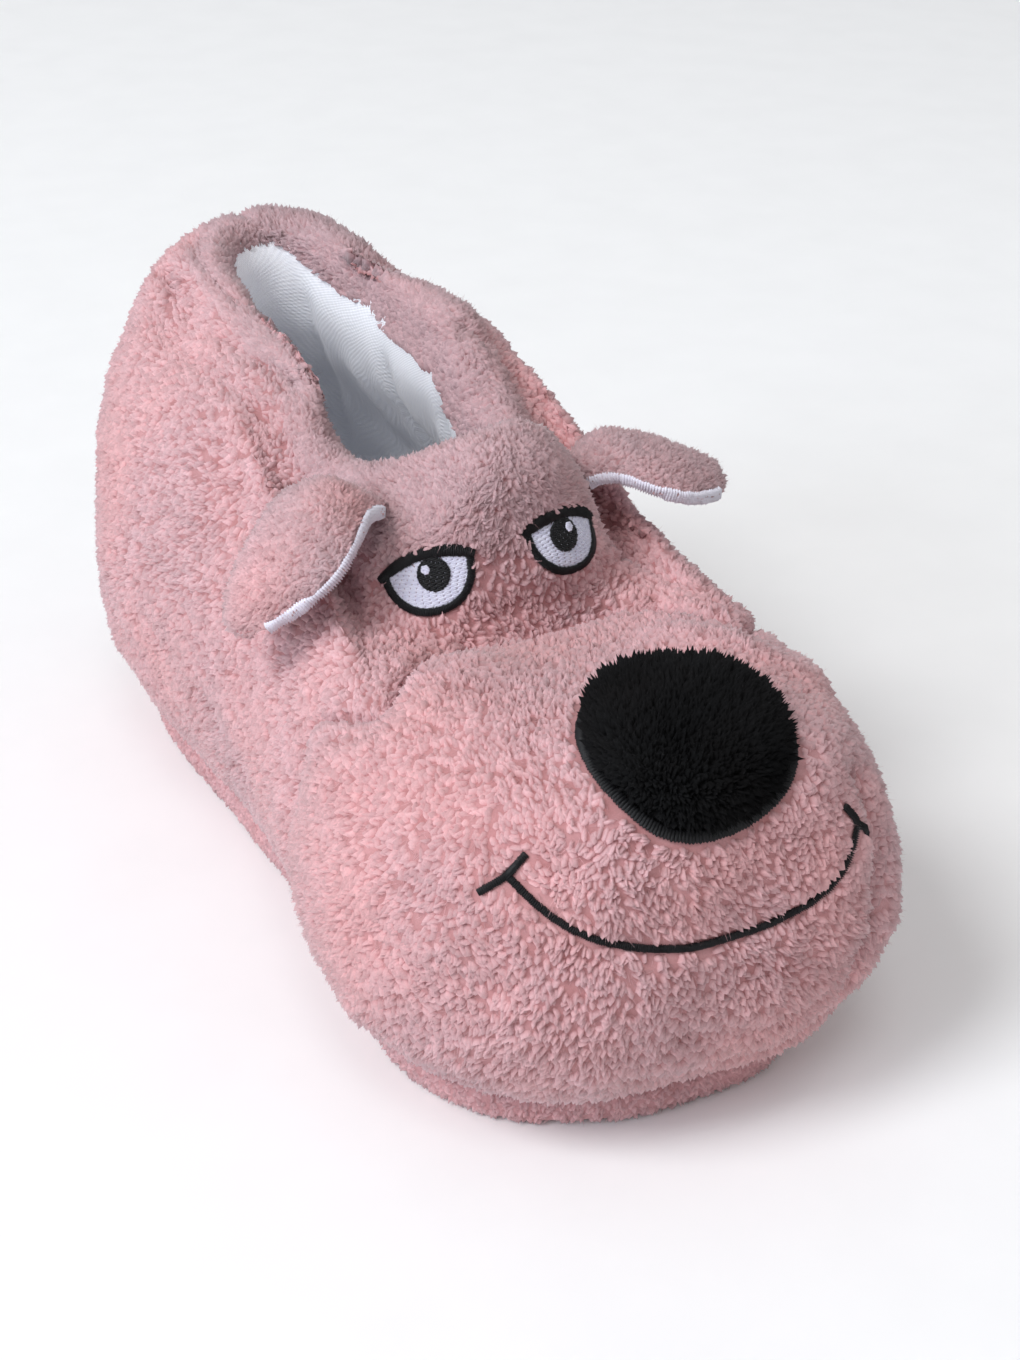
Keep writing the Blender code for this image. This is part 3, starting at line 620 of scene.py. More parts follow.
# Pile, in millimetres. Curls have a length, width, height and lift, hairs a length, a thickness and their
# lean from upright in radians. The last number of each is how soft its shading is.
PILE_KINDS = (("curls", curls), ("fuzz", fuzz))
UPPER_PILE = ((3.0, 1.65, 1.0, 0.50, 0.25), (2.4, 0.10, 0.8, 0.7))
NOSE_PILE = ((2.8, 1.3, 1.3, 1.4, 0.1), (2.3, 0.15, 0.7, 0.3))
EAR_PILE = ((3.2, 1.6, 0.8, 0.7, 0.25), (2.6, 0.10, 0.9, 0.7))
SOLE_PILE = ((2.4, 1.3, 0.55, 0.35, 0.25), (1.5, 0.10, 1.0, 0.7))
# How many curls and hairs are set out, before those on covered spots are left out
NOSE_COUNTS = (5600, 8000)
EAR_COUNTS = (2400, 2600)
SOLE_COUNTS = (4200, 3000)


def pile(name, finish, sizes, counts, place, scale=1.0):
    """Set curls and then hairs.

    The function place chooses spots for a count, and gives their roots, normals, nap and share of wear and
    painted shade.
    """
    for (kind, make), own_sizes, count in zip(PILE_KINDS, sizes, counts):
        roots, normals, leans, wear_and_shade = place(count)
        make(f"{name}_{kind}", roots, normals, leans, finish, wear_and_shade, scale, *own_sizes)


def along_path(points, values, pitch):
    """Read values, a row for each point of a path, at even steps along it."""
    run = np.concatenate([[0.0], np.cumsum(np.linalg.norm(np.diff(points, axis=0), axis=1))])
    places = (np.arange(int(run[-1] / pitch)) + 0.5) * pitch
    return np.stack([np.interp(places, run, column) for column in values.T], axis=-1)


def satin(name, points, normals, width, finish, base, pitch=0.42, rise=0.45):
    """Satin stitching: close threads laid across a path, with all sizes in millimetres."""
    pitch = pitch * MM
    table = along_path(points, np.column_stack([points, normals, width * MM * np.ones(len(points))]), pitch)
    middle, normal, width = table[:, :3], unit(table[:, 3:6]), table[:, 6]
    half = unit(np.cross(normal, np.gradient(middle, axis=0))) * (width / 2)[:, None]
    middle = middle + normal * base * MM
    count = len(middle)
    starts = middle - half * rng.uniform(0.93, 1.08, count)[:, None]
    ends = middle + half * rng.uniform(0.93, 1.08, count)[:, None]
    lobes(name, starts, ends, normal, 1.35 * pitch, rise * MM * rng.uniform(0.85, 1.1, count), finish,
          bend=0.05 * pitch * rng.normal(size=count), near=0.16, far=0.84)


def put(tree, kind, values=None, **settings):
    """Add a node, set its properties, and set or link its sockets."""
    made = tree.nodes.new(kind)
    for name, value in settings.items():
        setattr(made, name, value)
    for socket, value in (values or {}).items():
        if isinstance(value, bpy.types.NodeSocket):
            tree.links.new(value, made.inputs[socket])
        else:
            made.inputs[socket].default_value = value
    return made


MIX_FACTOR = 0
MIX_A = 6
MIX_B = 7
MIX_RESULT = 2


def mix_colours(tree, share, first, second, way="MIX"):
    """Mix two colours by a share."""
    made = put(tree, "ShaderNodeMix", {MIX_FACTOR: share, MIX_A: first, MIX_B: second},
               data_type="RGBA", blend_type=way)
    return made.outputs[MIX_RESULT]


def plus(tree, first, second, clamp=False):
    """Add two numbers, and hold the sum between 0 and 1 if asked."""
    return put(tree, "ShaderNodeMath", {0: first, 1: second}, operation="ADD", use_clamp=clamp).outputs[0]


def times(tree, first, second, more=0.0):
    """Multiply two numbers, and add a third."""
    made = put(tree, "ShaderNodeMath", {0: first, 1: second, 2: more}, operation="MULTIPLY_ADD")
    return made.outputs[0]


def noise(tree, where, scale, detail, roughness=0.5):
    """Give soft random values between 0 and 1, most of them near the middle."""
    made = put(tree, "ShaderNodeTexNoise",
               {"Vector": where, "Scale": scale, "Detail": detail, "Roughness": roughness})
    return made.outputs["Fac"]


def spread_out(tree, value, low, high, to_low=0.0, to_high=1.0):
    """Stretch a range of a value over another range."""
    made = put(tree, "ShaderNodeMapRange",
               {"Value": value, "From Min": low, "From Max": high, "To Min": to_low, "To Max": to_high})
    return made.outputs["Result"]


def own_place(tree):
    """Give the place on the piece, in metres."""
    return put(tree, "ShaderNodeTexCoord").outputs["Object"]


COLOUR = "NodeSocketColor"
FLOAT = "NodeSocketFloat"
WHITE = (1, 1, 1, 1)
GREY = (0.5, 0.5, 0.5, 1)


def new_group(name, inputs):
    """Start a node group with named inputs. Gives its tree and its input sockets."""
    tree = bpy.data.node_groups.new(name, "ShaderNodeTree")
    for label, default in inputs.items():
        kind = COLOUR if isinstance(default, tuple) else FLOAT
        tree.interface.new_socket(label, in_out="INPUT", socket_type=kind).default_value = default
    for label, kind in (("Colour", COLOUR), ("Roughness", FLOAT), ("Height", FLOAT)):
        tree.interface.new_socket(label, in_out="OUTPUT", socket_type=kind)
    return tree, tree.nodes.new("NodeGroupInput").outputs


def give(tree, colour, roughness, height):
    """End a node group with what it gives, and give its tree."""
    put(tree, "NodeGroupOutput", {"Colour": colour, "Roughness": roughness, "Height": height})
    return tree


def nap_group():
    """Fleece: painted shade deep in the pile and painted light at its ends, warm patches, patches of wear
    that on the collar also paint shade, and the grain of its fibres.
    """
    tree, given = new_group("Nap", {
        "Tip": WHITE, "Root Shade": (0, 0, 0, 1), "Warm": (1, 0, 0, 1), "Worn": GREY, "Tip Share": 0.5,
        "Wear And Shade Share": 0.0, "Mixed": 0.5, "Patch Scale": 20.0, "Fibre Scale": 900.0})
    where = own_place(tree)
    patches = spread_out(tree, noise(tree, where, given["Patch Scale"], 3.0), 0.42, 0.66)
    mottle = noise(tree, where, 170.0, 3.0)
    fibre = noise(tree, where, given["Fibre Scale"], 3.0, 0.65)
    # lit is the share of painted light: painted shade deep in the pile and in its gaps, painted light at
    # the ends
    lit = plus(tree, times(tree, given["Tip Share"], 0.90, 0.02), times(tree, mottle, 0.55, -0.275), True)
    colour = mix_colours(tree, lit, given["Root Shade"], given["Tip"])
    colour = mix_colours(tree, times(tree, times(tree, patches, 0.75), lit), colour, given["Warm"])
    # Wear greys the lit ends; on the collar this greying also paints shade
    wear_and_shade = times(tree, times(tree, given["Wear And Shade Share"], lit), 0.8)
    colour = mix_colours(tree, wear_and_shade, colour, given["Worn"])
    bright = spread_out(tree, given["Mixed"], 0.0, 1.0, 0.85, 1.10)
    shade = times(tree, bright, spread_out(tree, fibre, 0.25, 0.75, 0.88, 1.10))
    grey = put(tree, "ShaderNodeCombineColor", {0: shade, 1: shade, 2: shade}).outputs[0]
    return give(tree, mix_colours(tree, 1.0, colour, grey, "MULTIPLY"),
                spread_out(tree, mottle, 0.3, 0.7, 0.82, 0.98), plus(tree, times(tree, fibre, 0.5), mottle))


def weave_group():
    """Woven cloth: threads over and under along two directions, with slubs and soft soiling."""
    tree, given = new_group("Weave", {"Colour": WHITE, "Shade": GREY, "Thread Scale": 1500.0, "Soil": 0.2})
    where = own_place(tree)
    wander = put(tree, "ShaderNodeTexNoise", {"Vector": where, "Scale": 60.0, "Detail": 1.0})
    bent = put(tree, "ShaderNodeVectorMath", {0: wander.outputs["Color"], 1: (0.002, 0.002, 0.002)},
               operation="MULTIPLY")
    moved = put(tree, "ShaderNodeVectorMath", {0: where, 1: bent.outputs[0]}, operation="ADD").outputs[0]
    across, along, up = put(tree, "ShaderNodeSeparateXYZ", {0: moved}).outputs
    threads = []
    for run in (plus(tree, along, across), times(tree, across, 0.35, up)):
        threads.append(put(tree, "ShaderNodeMath", {0: times(tree, run, given["Thread Scale"])},
                           operation="SINE").outputs[0])
    crossing = times(tree, *threads)
    slub = noise(tree, where, 420.0, 3.0)
    dirt = times(tree, noise(tree, where, 28.0, 4.0), given["Soil"])
    lit = plus(tree, spread_out(tree, crossing, -1.0, 1.0, 0.0, 0.30), dirt)
    lit = plus(tree, lit, spread_out(tree, slub, 0.3, 0.7, 0.0, 0.18), True)
    return give(tree, mix_colours(tree, lit, given["Colour"], given["Shade"]),
                spread_out(tree, slub, 0.3, 0.7, 0.72, 0.90), plus(tree, times(tree, crossing, 0.5), slub))


def thread_group():
    """Satin stitching thread: fine twist lines and a little change of tone from stitch to stitch."""
    tree, given = new_group("Thread", {"Colour": WHITE, "Shade": GREY, "Twist Scale": 2600.0})
    where = own_place(tree)
    bands = {"Vector": where, "Scale": given["Twist Scale"], "Distortion": 1.5}
    twist = put(tree, "ShaderNodeTexWave", bands, bands_direction="DIAGONAL").outputs["Fac"]
    tone = noise(tree, where, 700.0, 2.0)
    lit = plus(tree, times(tree, twist, 0.35), spread_out(tree, tone, 0.3, 0.7, 0.0, 0.5), True)
    return give(tree, mix_colours(tree, lit, given["Colour"], given["Shade"]),
                spread_out(tree, tone, 0.3, 0.7, 0.34, 0.52), twist)


def finished(name, slot, group, values, bump, distance, sheen=0.0, sheen_tint=WHITE, specular=0.3):
    """Make a material from a node group with its own values. Gives it with its slot."""
    made = bpy.data.materials.new(name)
    made.use_nodes = True
    tree = made.node_tree
    # Pile is painted on its points: a share of painted light, a share of wear and painted shade, and a
    # random share
    if "Tip" in values:
        painted = put(tree, "ShaderNodeAttribute", attribute_name="pile").outputs["Color"]
        shares = put(tree, "ShaderNodeSeparateColor", {0: painted}).outputs
        values = {**values, "Tip Share": shares[0], "Wear And Shade Share": shares[1], "Mixed": shares[2]}
    cloth = put(tree, "ShaderNodeGroup", values, node_tree=group).outputs
    raised = put(tree, "ShaderNodeBump",
                 {"Height": cloth["Height"], "Strength": bump, "Distance": distance * MM})
    shader = tree.nodes["Principled BSDF"]
    tree.links.new(cloth["Colour"], shader.inputs["Base Color"])
    tree.links.new(cloth["Roughness"], shader.inputs["Roughness"])
    tree.links.new(raised.outputs[0], shader.inputs["Normal"])
    shader.inputs["Sheen Weight"].default_value = sheen
    shader.inputs["Sheen Roughness"].default_value = 0.45
    shader.inputs["Sheen Tint"].default_value = sheen_tint
    shader.inputs["Specular IOR Level"].default_value = specular
    return made, slot


NAP = nap_group()
WEAVE = weave_group()
THREAD = thread_group()

# Materials with their slots. The distance of the bumps is in millimetres.
# The colour deep in the pile is painted shade, shown in the gaps between curls. On the collar the colour of
# wear also paints shade.
PINK_FLEECE = finished("pink_fleece", "fleece", NAP, {
    "Tip": (0.76, 0.485, 0.51, 1), "Root Shade": (0.34, 0.115, 0.11, 1), "Warm": (0.76, 0.40, 0.40, 1),
    "Worn": (0.47, 0.35, 0.37, 1), "Patch Scale": 22.0, "Fibre Scale": 2200.0},
    bump=0.4, distance=0.25, sheen=0.45, sheen_tint=(1.0, 0.88, 0.91, 1), specular=0.15)
SOLE_FLEECE = finished("sole_fleece", "sole_fleece", NAP, {
    "Tip": (0.75, 0.46, 0.49, 1), "Root Shade": (0.38, 0.15, 0.15, 1), "Warm": (0.72, 0.37, 0.38, 1),
    "Worn": (0.52, 0.37, 0.37, 1), "Patch Scale": 30.0, "Fibre Scale": 1100.0},
    bump=0.9, distance=0.6, sheen=0.22, sheen_tint=(1.0, 0.86, 0.86, 1), specular=0.15)
BLACK_PLUSH = finished("black_plush", "nose_plush", NAP, {
    "Tip": (0.006, 0.006, 0.0065, 1), "Root Shade": (0.002, 0.002, 0.002, 1), "Warm": (0.007, 0.006, 0.006, 1),
    "Worn": (0.020, 0.020, 0.021, 1), "Patch Scale": 60.0, "Fibre Scale": 900.0},
    bump=0.5, distance=0.4, sheen=0.02, sheen_tint=(0.8, 0.8, 0.85, 1), specular=0.08)
WHITE_COTTON = finished("white_cotton", "lining", WEAVE, {
    "Colour": (0.95, 0.97, 1.0, 1), "Shade": (0.82, 0.86, 0.96, 1), "Thread Scale": 5200.0, "Soil": 0.10},
    bump=0.45, distance=0.25, sheen=0.40, specular=0.2)
FOOTBED_COTTON = finished("footbed_cotton", "lining", WEAVE, {
    "Colour": (0.86, 0.88, 0.95, 1), "Shade": (0.64, 0.67, 0.77, 1), "Thread Scale": 4200.0, "Soil": 0.35},
    bump=0.45, distance=0.3, sheen=0.15, specular=0.2)
WHITE_SATIN = finished("white_satin", "lining", WEAVE, {
    "Colour": (0.90, 0.88, 0.96, 1), "Shade": (0.68, 0.65, 0.78, 1), "Thread Scale": 6800.0, "Soil": 0.12},
    bump=0.25, distance=0.2, sheen=0.35, specular=0.45)
SOLE_CLOTH = finished("sole_cloth", "sole_fleece", WEAVE, {
    "Colour": (0.60, 0.45, 0.44, 1), "Shade": (0.36, 0.26, 0.26, 1), "Thread Scale": 3600.0, "Soil": 0.5},
    bump=0.6, distance=0.4, sheen=0.05, specular=0.25)
BLACK_THREAD = finished("black_thread", "nose_plush", THREAD, {
    "Colour": (0.005, 0.005, 0.006, 1), "Shade": (0.014, 0.014, 0.016, 1)},
    bump=0.3, distance=0.15, sheen=0.02, specular=0.30)
LILAC_THREAD = finished("lilac_thread", "lining", THREAD, {
    "Colour": (0.86, 0.86, 0.97, 1), "Shade": (0.60, 0.59, 0.76, 1)},
    bump=0.4, distance=0.2, sheen=0.1, specular=0.5)
RUBBER_DOTS = finished("rubber_dots", "sole_fleece", THREAD, {
    "Colour": (0.55, 0.42, 0.42, 1), "Shade": (0.40, 0.30, 0.30, 1), "Twist Scale": 700.0},
    bump=0.2, distance=0.1, specular=0.5)


def spots_at(points, radius):
    """Give spots for the pile to keep clear of: points with a radius in millimetres."""
    return [(Vector(point), radius * MM) for point in points]


def clear_of(spots, points):
    """Tell which points lie clear of the spots, given as (place, radius)."""
    tree = KDTree(len(spots))
    for i, (spot, _) in enumerate(spots):
        tree.insert(spot, i)
    tree.balance()
    reach = max(radius for _, radius in spots)
    clear = np.ones(len(points), bool)
    for n, point in enumerate(points):
        for _, i, distance in tree.find_range(point, reach):
            if distance < spots[i][1]:
                clear[n] = False
                break
    return clear


def fleece_shell(cloth):
    """The fleece's backing, from the sole over the collar to the facing's turned hem."""
    rows, columns = cloth.points.shape[:2]
    hem = [cloth.points[-1] - cloth.normals[-1] * depth * MM for depth in (0.8, 1.8)]
    points = np.concatenate([cloth.points, hem])
    faces = grid_faces(rows + 2, columns)
    made = mesh_piece("fleece_shell", points, faces, PINK_FLEECE, replaced=["upper"])
    wear_and_shade = wear_and_shade_share(cloth.points, cloth.places[:, None]).ravel()
    wear_and_shade = np.concatenate([wear_and_shade, wear_and_shade[-2 * columns:]])
    # The backing shows in the gaps between curls and gets a low share of painted light: painted shade
    # between the curls
    paint_pile(made, 0.32, wear_and_shade, 0.45)


# Panels of pile: the muzzle ends at a ring and a turn, the collar starts at a ring
MUZZLE_END = 9.0
MUZZLE_TURN = 0.42
COLLAR_START = 10.2
# How far the nap's direction wanders from curl to curl, in radians
UPPER_SPREAD = 0.45
SOLE_SPREAD = 0.8


def panel_pile(cloth, covered, name, density, scale, counts):
    """The curls and hairs of one panel of the upper, off the covered spots."""

    def place(count):
        rows, columns = cloth.scatter(count, density)
        roots = cloth.read(cloth.points, rows, columns)
        keep = clear_of(covered, roots)
        rows, columns, roots = rows[keep], columns[keep], roots[keep]
        normals = unit(cloth.read(cloth.normals, rows, columns))
        leans = comb(cloth, rows, columns, UPPER_SPREAD)
        rings = cloth.places[0] + rows * (cloth.places[1] - cloth.places[0])
        return roots, normals, leans, wear_and_shade_share(roots, rings)

    pile(name, PINK_FLEECE, UPPER_PILE, counts, place, scale)


def upper_pile(cloth, covered):
    """The fleece's locks, in two pieces for each panel of the upper."""
    places = cloth.places[:, None]
    turns = cloth.turns[None, :]
    muzzle = (places < MUZZLE_END) & (np.abs(turns) < MUZZLE_TURN)
    collar = (places >= COLLAR_START)
    quarters = ~muzzle & ~collar
    density = 1.0 - 0.5 * ease((0.8 - places) / 0.8) + 0.0 * turns
    panels = (
        ("muzzle", muzzle, 1.06, (20000, 11000)),
        ("right_quarter", quarters & (turns < 0.0), 1.0, (16000, 8000)),
        ("left_quarter", quarters & (turns >= 0.0), 1.0, (15500, 8000)),
        ("collar", collar, 1.25, (13500, 11000)),
    )
    for name, where, scale, counts in panels:
        panel_pile(cloth, covered, name, density * where, scale, counts)


# How far the pile keeps off the seams and the stitched and covered places, in millimetres
SEAM_GAP = 1.25
SMILE_GAP = 1.8
NOSE_GAP = 1.6
EYE_GAP = 1.5


def seams(cloth):
    """Give the spots where the pile parts along the head seam and the heel seam."""
    spots = []
    for name, corners, _, _ in CREASES:
        if name.startswith(("head seam", "heel seam")):
            line = smooth_path(corners, 14)
            points, _ = cloth.at(line[:, 0], line[:, 1])
            spots += spots_at(along_path(points, points, 0.5 * MM), SEAM_GAP)
    return spots


def cotton_lining(cloth):
    """The lining's one sheet, sewn over the wadding."""
    made = mesh_piece("cotton_lining", cloth.points, grid_faces(*cloth.points.shape[:2]), WHITE_COTTON)


# Camera: what it looks at, from where, and its lens
TARGET = Vector((0.0194, 0.0, 0.0488))
AZIMUTH = math.radians(-30.306)
ELEVATION = math.radians(30.717)
DISTANCE = 0.6017
ROLL = math.radians(0.853)
FOCAL_PIXELS = 2130.0
PHOTO_HEIGHT = 1360.0
SENSOR = 36.0


def camera():
    """Set the camera where the photo's camera stood, turned so that the slipper fills the frame."""
    back = Vector((math.sin(AZIMUTH) * math.cos(ELEVATION), -math.cos(AZIMUTH) * math.cos(ELEVATION),
                   math.sin(ELEVATION)))
    level = Vector((math.cos(AZIMUTH), math.sin(AZIMUTH), 0.0))
    upright = back.cross(level)
    right = level * math.cos(ROLL) + upright * math.sin(ROLL)
    up = upright * math.cos(ROLL) - level * math.sin(ROLL)
    lens = bpy.data.cameras.new("camera")
    lens.sensor_width = SENSOR
    lens.lens = FOCAL_PIXELS / PHOTO_HEIGHT * SENSOR
    lens.clip_start = 0.01
    made = add_object("camera", lens)
    turned = Matrix((right, up, back)).transposed().to_4x4()
    made.matrix_world = Matrix.Translation(TARGET + back * DISTANCE) @ turned
    bpy.context.scene.camera = made


# Lights: name, place, size, power and colour. They all point at LIGHTS_AT.
LIGHTS = (
    ("key", (-2.60, -0.30, 3.20), 1.6, 84.0, (0.97, 0.98, 1.0)),
    ("side", (-4.20, -0.40, 1.90), 2.2, 68.0, (0.80, 0.88, 1.0)),
    ("overhead", (-0.60, -1.20, 2.90), 1.0, 12.0, (0.97, 0.98, 1.0)),
)
LIGHTS_AT = Vector((0.0, 0.0, 0.05))
WORLD_STRENGTH = 0.45

# The floor: flat out to a radius, then curving up, in metres
FLOOR_FLAT = 3.0
FLOOR_BEND = 3.5
FLOOR_COLUMNS = 96
FLOOR_STEPS = 25


def area_light(name, place, size, power, colour):
    """Add a round soft light."""
    lamp = bpy.data.lights.new(name, "AREA")
    lamp.shape = "DISK"
    lamp.size = size
    lamp.energy = power
    lamp.color = colour
    made = add_object(name, lamp)
    made.location = place
    made.rotation_mode = "QUATERNION"
    made.rotation_quaternion = (Vector(place) - LIGHTS_AT).to_track_quat("Z", "Y")


def rings_of(sizes, heights, columns):
    """Give the points of level circles, as a list of grids."""
    turn = circle(columns)
    return [np.stack([size * np.cos(turn), size * np.sin(turn), height + 0.0 * turn], axis=-1)
            for size, height in zip(sizes, heights)]


def studio():
    """A pale round floor that curves up all round, three soft lights and a white sky."""
    paper = bpy.data.materials.new("pale_paper")
    paper.use_nodes = True
    tree = paper.node_tree
    shader = tree.nodes["Principled BSDF"]
    fleck = spread_out(tree, noise(tree, own_place(tree), 30.0, 3.0), 0.3, 0.7)
    tone = mix_colours(tree, fleck, (0.93, 0.93, 0.93, 1), (0.95, 0.95, 0.95, 1))
    tree.links.new(tone, shader.inputs["Base Color"])
    shader.inputs["Roughness"].default_value = 0.9
    shader.inputs["Specular IOR Level"].default_value = 0.1
    rise = np.linspace(0.0, math.pi / 2, FLOOR_STEPS)
    sizes = np.concatenate([[0.3, 1.5], FLOOR_FLAT + FLOOR_BEND * np.sin(rise)])[::-1]
    heights = np.concatenate([[0.0, 0.0], FLOOR_BEND * (1.0 - np.cos(rise))])[::-1]
    rows = rings_of(sizes, heights, FLOOR_COLUMNS)
    mesh = bpy.data.meshes.new("floor")
    mesh.from_pydata(np.concatenate(rows + [np.zeros((1, 3))]).tolist(), [],
                     capped_faces(len(rows), FLOOR_COLUMNS))
    mesh.materials.append(paper)
    mesh.shade_smooth()
    floor = add_object("floor", mesh)
    world = bpy.data.worlds.new("studio")
    bpy.context.scene.world = world
    world.use_nodes = True
    sky = world.node_tree.nodes["Background"]
    sky.inputs["Color"].default_value = WHITE
    sky.inputs["Strength"].default_value = WORLD_STRENGTH
    for light in LIGHTS:
        area_light(*light)


def skin_tree(cloth):
    """Give a search tree of the cloth's faces."""
    rows, columns = cloth.points.shape[:2]
    return BVHTree.FromPolygons(cloth.points.reshape(-1, 3).tolist(), grid_faces(rows, columns))


class Patch:
    """A flat pattern laid on the skin: places beside and above its centre, pressed on one way."""

    REACH = 0.03

    def __init__(self, tree, centre, facing, level):
        self.tree = tree
        self.centre = np.array(centre)
        self.facing = unit(np.array(facing, float))
        self.level = unit(np.array(level, float) - self.facing * (self.facing @ np.array(level, float)))
        self.upright = np.cross(self.facing, self.level)

    def lay(self, beside, above):
        """Give the skin's points and normals under places of the pattern."""
        points = []
        normals = []
        for a, b in zip(np.ravel(beside), np.ravel(above)):
            start = self.centre + self.level * a + self.upright * b + self.facing * self.REACH
            hit, normal, _, _ = self.tree.ray_cast(Vector(start), Vector(-self.facing), 3 * self.REACH)
            if hit is None:
                hit, normal, _, _ = self.tree.find_nearest(Vector(start - self.facing * self.REACH))
            points.append(hit)
            normals.append(normal)
        return np.array(points), np.array(normals)


# Eyes, in millimetres beside and above an eye's centre, for the slipper's right eye.
# EYE_PLACES gives each eye's name, ring, turn and side. PUPIL and GLINT are discs: their place beside and
# above, and their radius.
EYE_PLACES = (("right", 10.0, -0.150, 1.0), ("left", 10.25, 0.075, -1.0))
EYE_HALF_WIDTH = 11.0
LID_HEIGHT = 4.0
LID_ARCH = 2.6
BOWL_DEPTH = 12.0
LID_WIDTH = 3.5
BOWL_WIDTH = 2.4
PUPIL = (1.2, 1.0, 4.3)
GLINT = (-0.4, 2.6, 1.2)
ROW_PITCH = 0.45
FILL_STITCH = 3.6


def lid_at(beside):
    """Give the height of the lid's line."""
    return LID_HEIGHT + LID_ARCH * (1.0 - (beside / EYE_HALF_WIDTH) ** 2)


def bowl_at(beside):
    """Give the height of the eye's round lower edge."""
    depth = np.sqrt(np.maximum(0.0, 1.0 - (np.abs(beside) / EYE_HALF_WIDTH) ** 2.3))
    return LID_HEIGHT - BOWL_DEPTH * depth


def stitched_rows(name, patch, side, rows, finish, base=0.30):
    """Fill stitching: rows of short level threads, given as height, start and end in millimetres."""
    starts = []
    ends = []
    for k, (height, left, right) in enumerate(rows):
        cuts = np.arange(left - FILL_STITCH * (k * 0.38 % 1.0), right, FILL_STITCH)
        cuts = np.concatenate([[left], cuts[(cuts > left + 0.4) & (cuts < right - 0.4)], [right]])
        for a, b in zip(cuts[:-1], cuts[1:]):
            starts.append((side * a, height))
            ends.append((side * b, height))
    first, normals = patch.lay(*(np.array(starts).T * MM))
    last, _ = patch.lay(*(np.array(ends).T * MM))
    first = first + normals * base * MM
    last = last + normals * base * MM
    lobes(name, first, last, normals, 1.45 * ROW_PITCH * MM, 0.35 * MM, finish, near=0.12, far=0.88)


def disc_rows(middle, height, radius):
    """Give the rows of a filled disc."""
    heights = np.arange(height - radius, height + radius, ROW_PITCH) + ROW_PITCH / 2
    half = np.sqrt(np.maximum(0.0, radius ** 2 - (heights - height) ** 2))
    return [(h, middle - w, middle + w) for h, w in zip(heights, half) if w > 0.3]


def eye(name, ring, turn, side, cloth, tree):
    """An embroidered sleepy eye. Gives the spots that it covers."""
    point, normal = cloth.at(ring, turn)
    patch = Patch(tree, point, normal, (1.0, 0.0, 0.0))
    white = []
    inside = np.linspace(-EYE_HALF_WIDTH, EYE_HALF_WIDTH, 181)
    for height in np.arange(LID_HEIGHT - BOWL_DEPTH, LID_HEIGHT + LID_ARCH, ROW_PITCH):
        row = inside[(bowl_at(inside) < height) & (lid_at(inside) > height)]
        if len(row) > 4:
            white.append((height, row[0], row[-1]))
    stitched_rows(f"eye_white_{name}", patch, side, white, LILAC_THREAD)
    stitched_rows(f"pupil_{name}", patch, side, disc_rows(*PUPIL), BLACK_THREAD, base=0.80)
    stitched_rows(f"glint_{name}", patch, side, disc_rows(*GLINT), LILAC_THREAD, base=1.15)
    beside = EYE_HALF_WIDTH * np.cos(np.linspace(math.pi, 2.0 * math.pi, 60))
    points, normals = patch.lay(side * beside * MM, bowl_at(beside) * MM)
    satin(f"eye_bowl_{name}", points, normals, BOWL_WIDTH, BLACK_THREAD, base=0.62)
    beside = np.linspace(-EYE_HALF_WIDTH - 1.6, EYE_HALF_WIDTH + 1.6, 40)
    points, normals = patch.lay(side * beside * MM, lid_at(beside) * MM)
    taper = 0.45 + 0.55 * np.sqrt(np.maximum(0.0, 1.0 - (beside / (EYE_HALF_WIDTH + 1.8)) ** 4))
    satin(f"eye_lid_{name}", points, normals, LID_WIDTH * taper, BLACK_THREAD, base=0.85)
    beside, above = np.meshgrid(np.arange(-12.5, 13.0, 1.3), np.arange(-9.0, 8.0, 1.3))
    reached = (bowl_at(beside) - 0.6 < above) & (lid_at(beside) + 1.2 > above)
    reached &= np.abs(beside) < EYE_HALF_WIDTH + 1.3
    points, _ = patch.lay(side * beside[reached] * MM, above[reached] * MM)
    return spots_at(points, EYE_GAP)


def smile(cloth):
    """Stitch the smile. Gives the spots that it covers."""
    spots = []
    for k, route in enumerate((SMILE, *SMILE_TICKS)):
        line = smooth_path(route, 14)
        points, normals = cloth.at(line[:, 0], line[:, 1])
        satin(f"smile_{k + 1}", points, normals, SMILE_WIDTH, BLACK_THREAD, base=0.6, pitch=0.5, rise=0.7)
        spots += spots_at(along_path(points, points, 0.6 * MM), SMILE_GAP)
    return spots


# Nose, in millimetres
NOSE_WIDTH = 53.0
NOSE_DEPTH = 47.0
NOSE_RING = 6.6
NOSE_TURN = 0.01
NOSE_PITCH = math.radians(49)
NOSE_ROLL = math.radians(28)
NOSE_SEAT = 0.5
NOSE_CORE = 4.4
NOSE_BORDER = 3.2
NOSE_COLUMNS = 96
NOSE_ROWS = 16
# How far out the nose's pile reaches: more towards one side, where it hides the border, than opposite
NOSE_PILE_REACH = 0.905
NOSE_PILE_SHIFT = 0.050
NOSE_PILE_TOWARDS = math.radians(45)


def pile_reach(angle):
    """Give how far out the nose's pile reaches, as a share of the nose's outline."""
    return NOSE_PILE_REACH + NOSE_PILE_SHIFT * np.cos(angle - NOSE_PILE_TOWARDS)


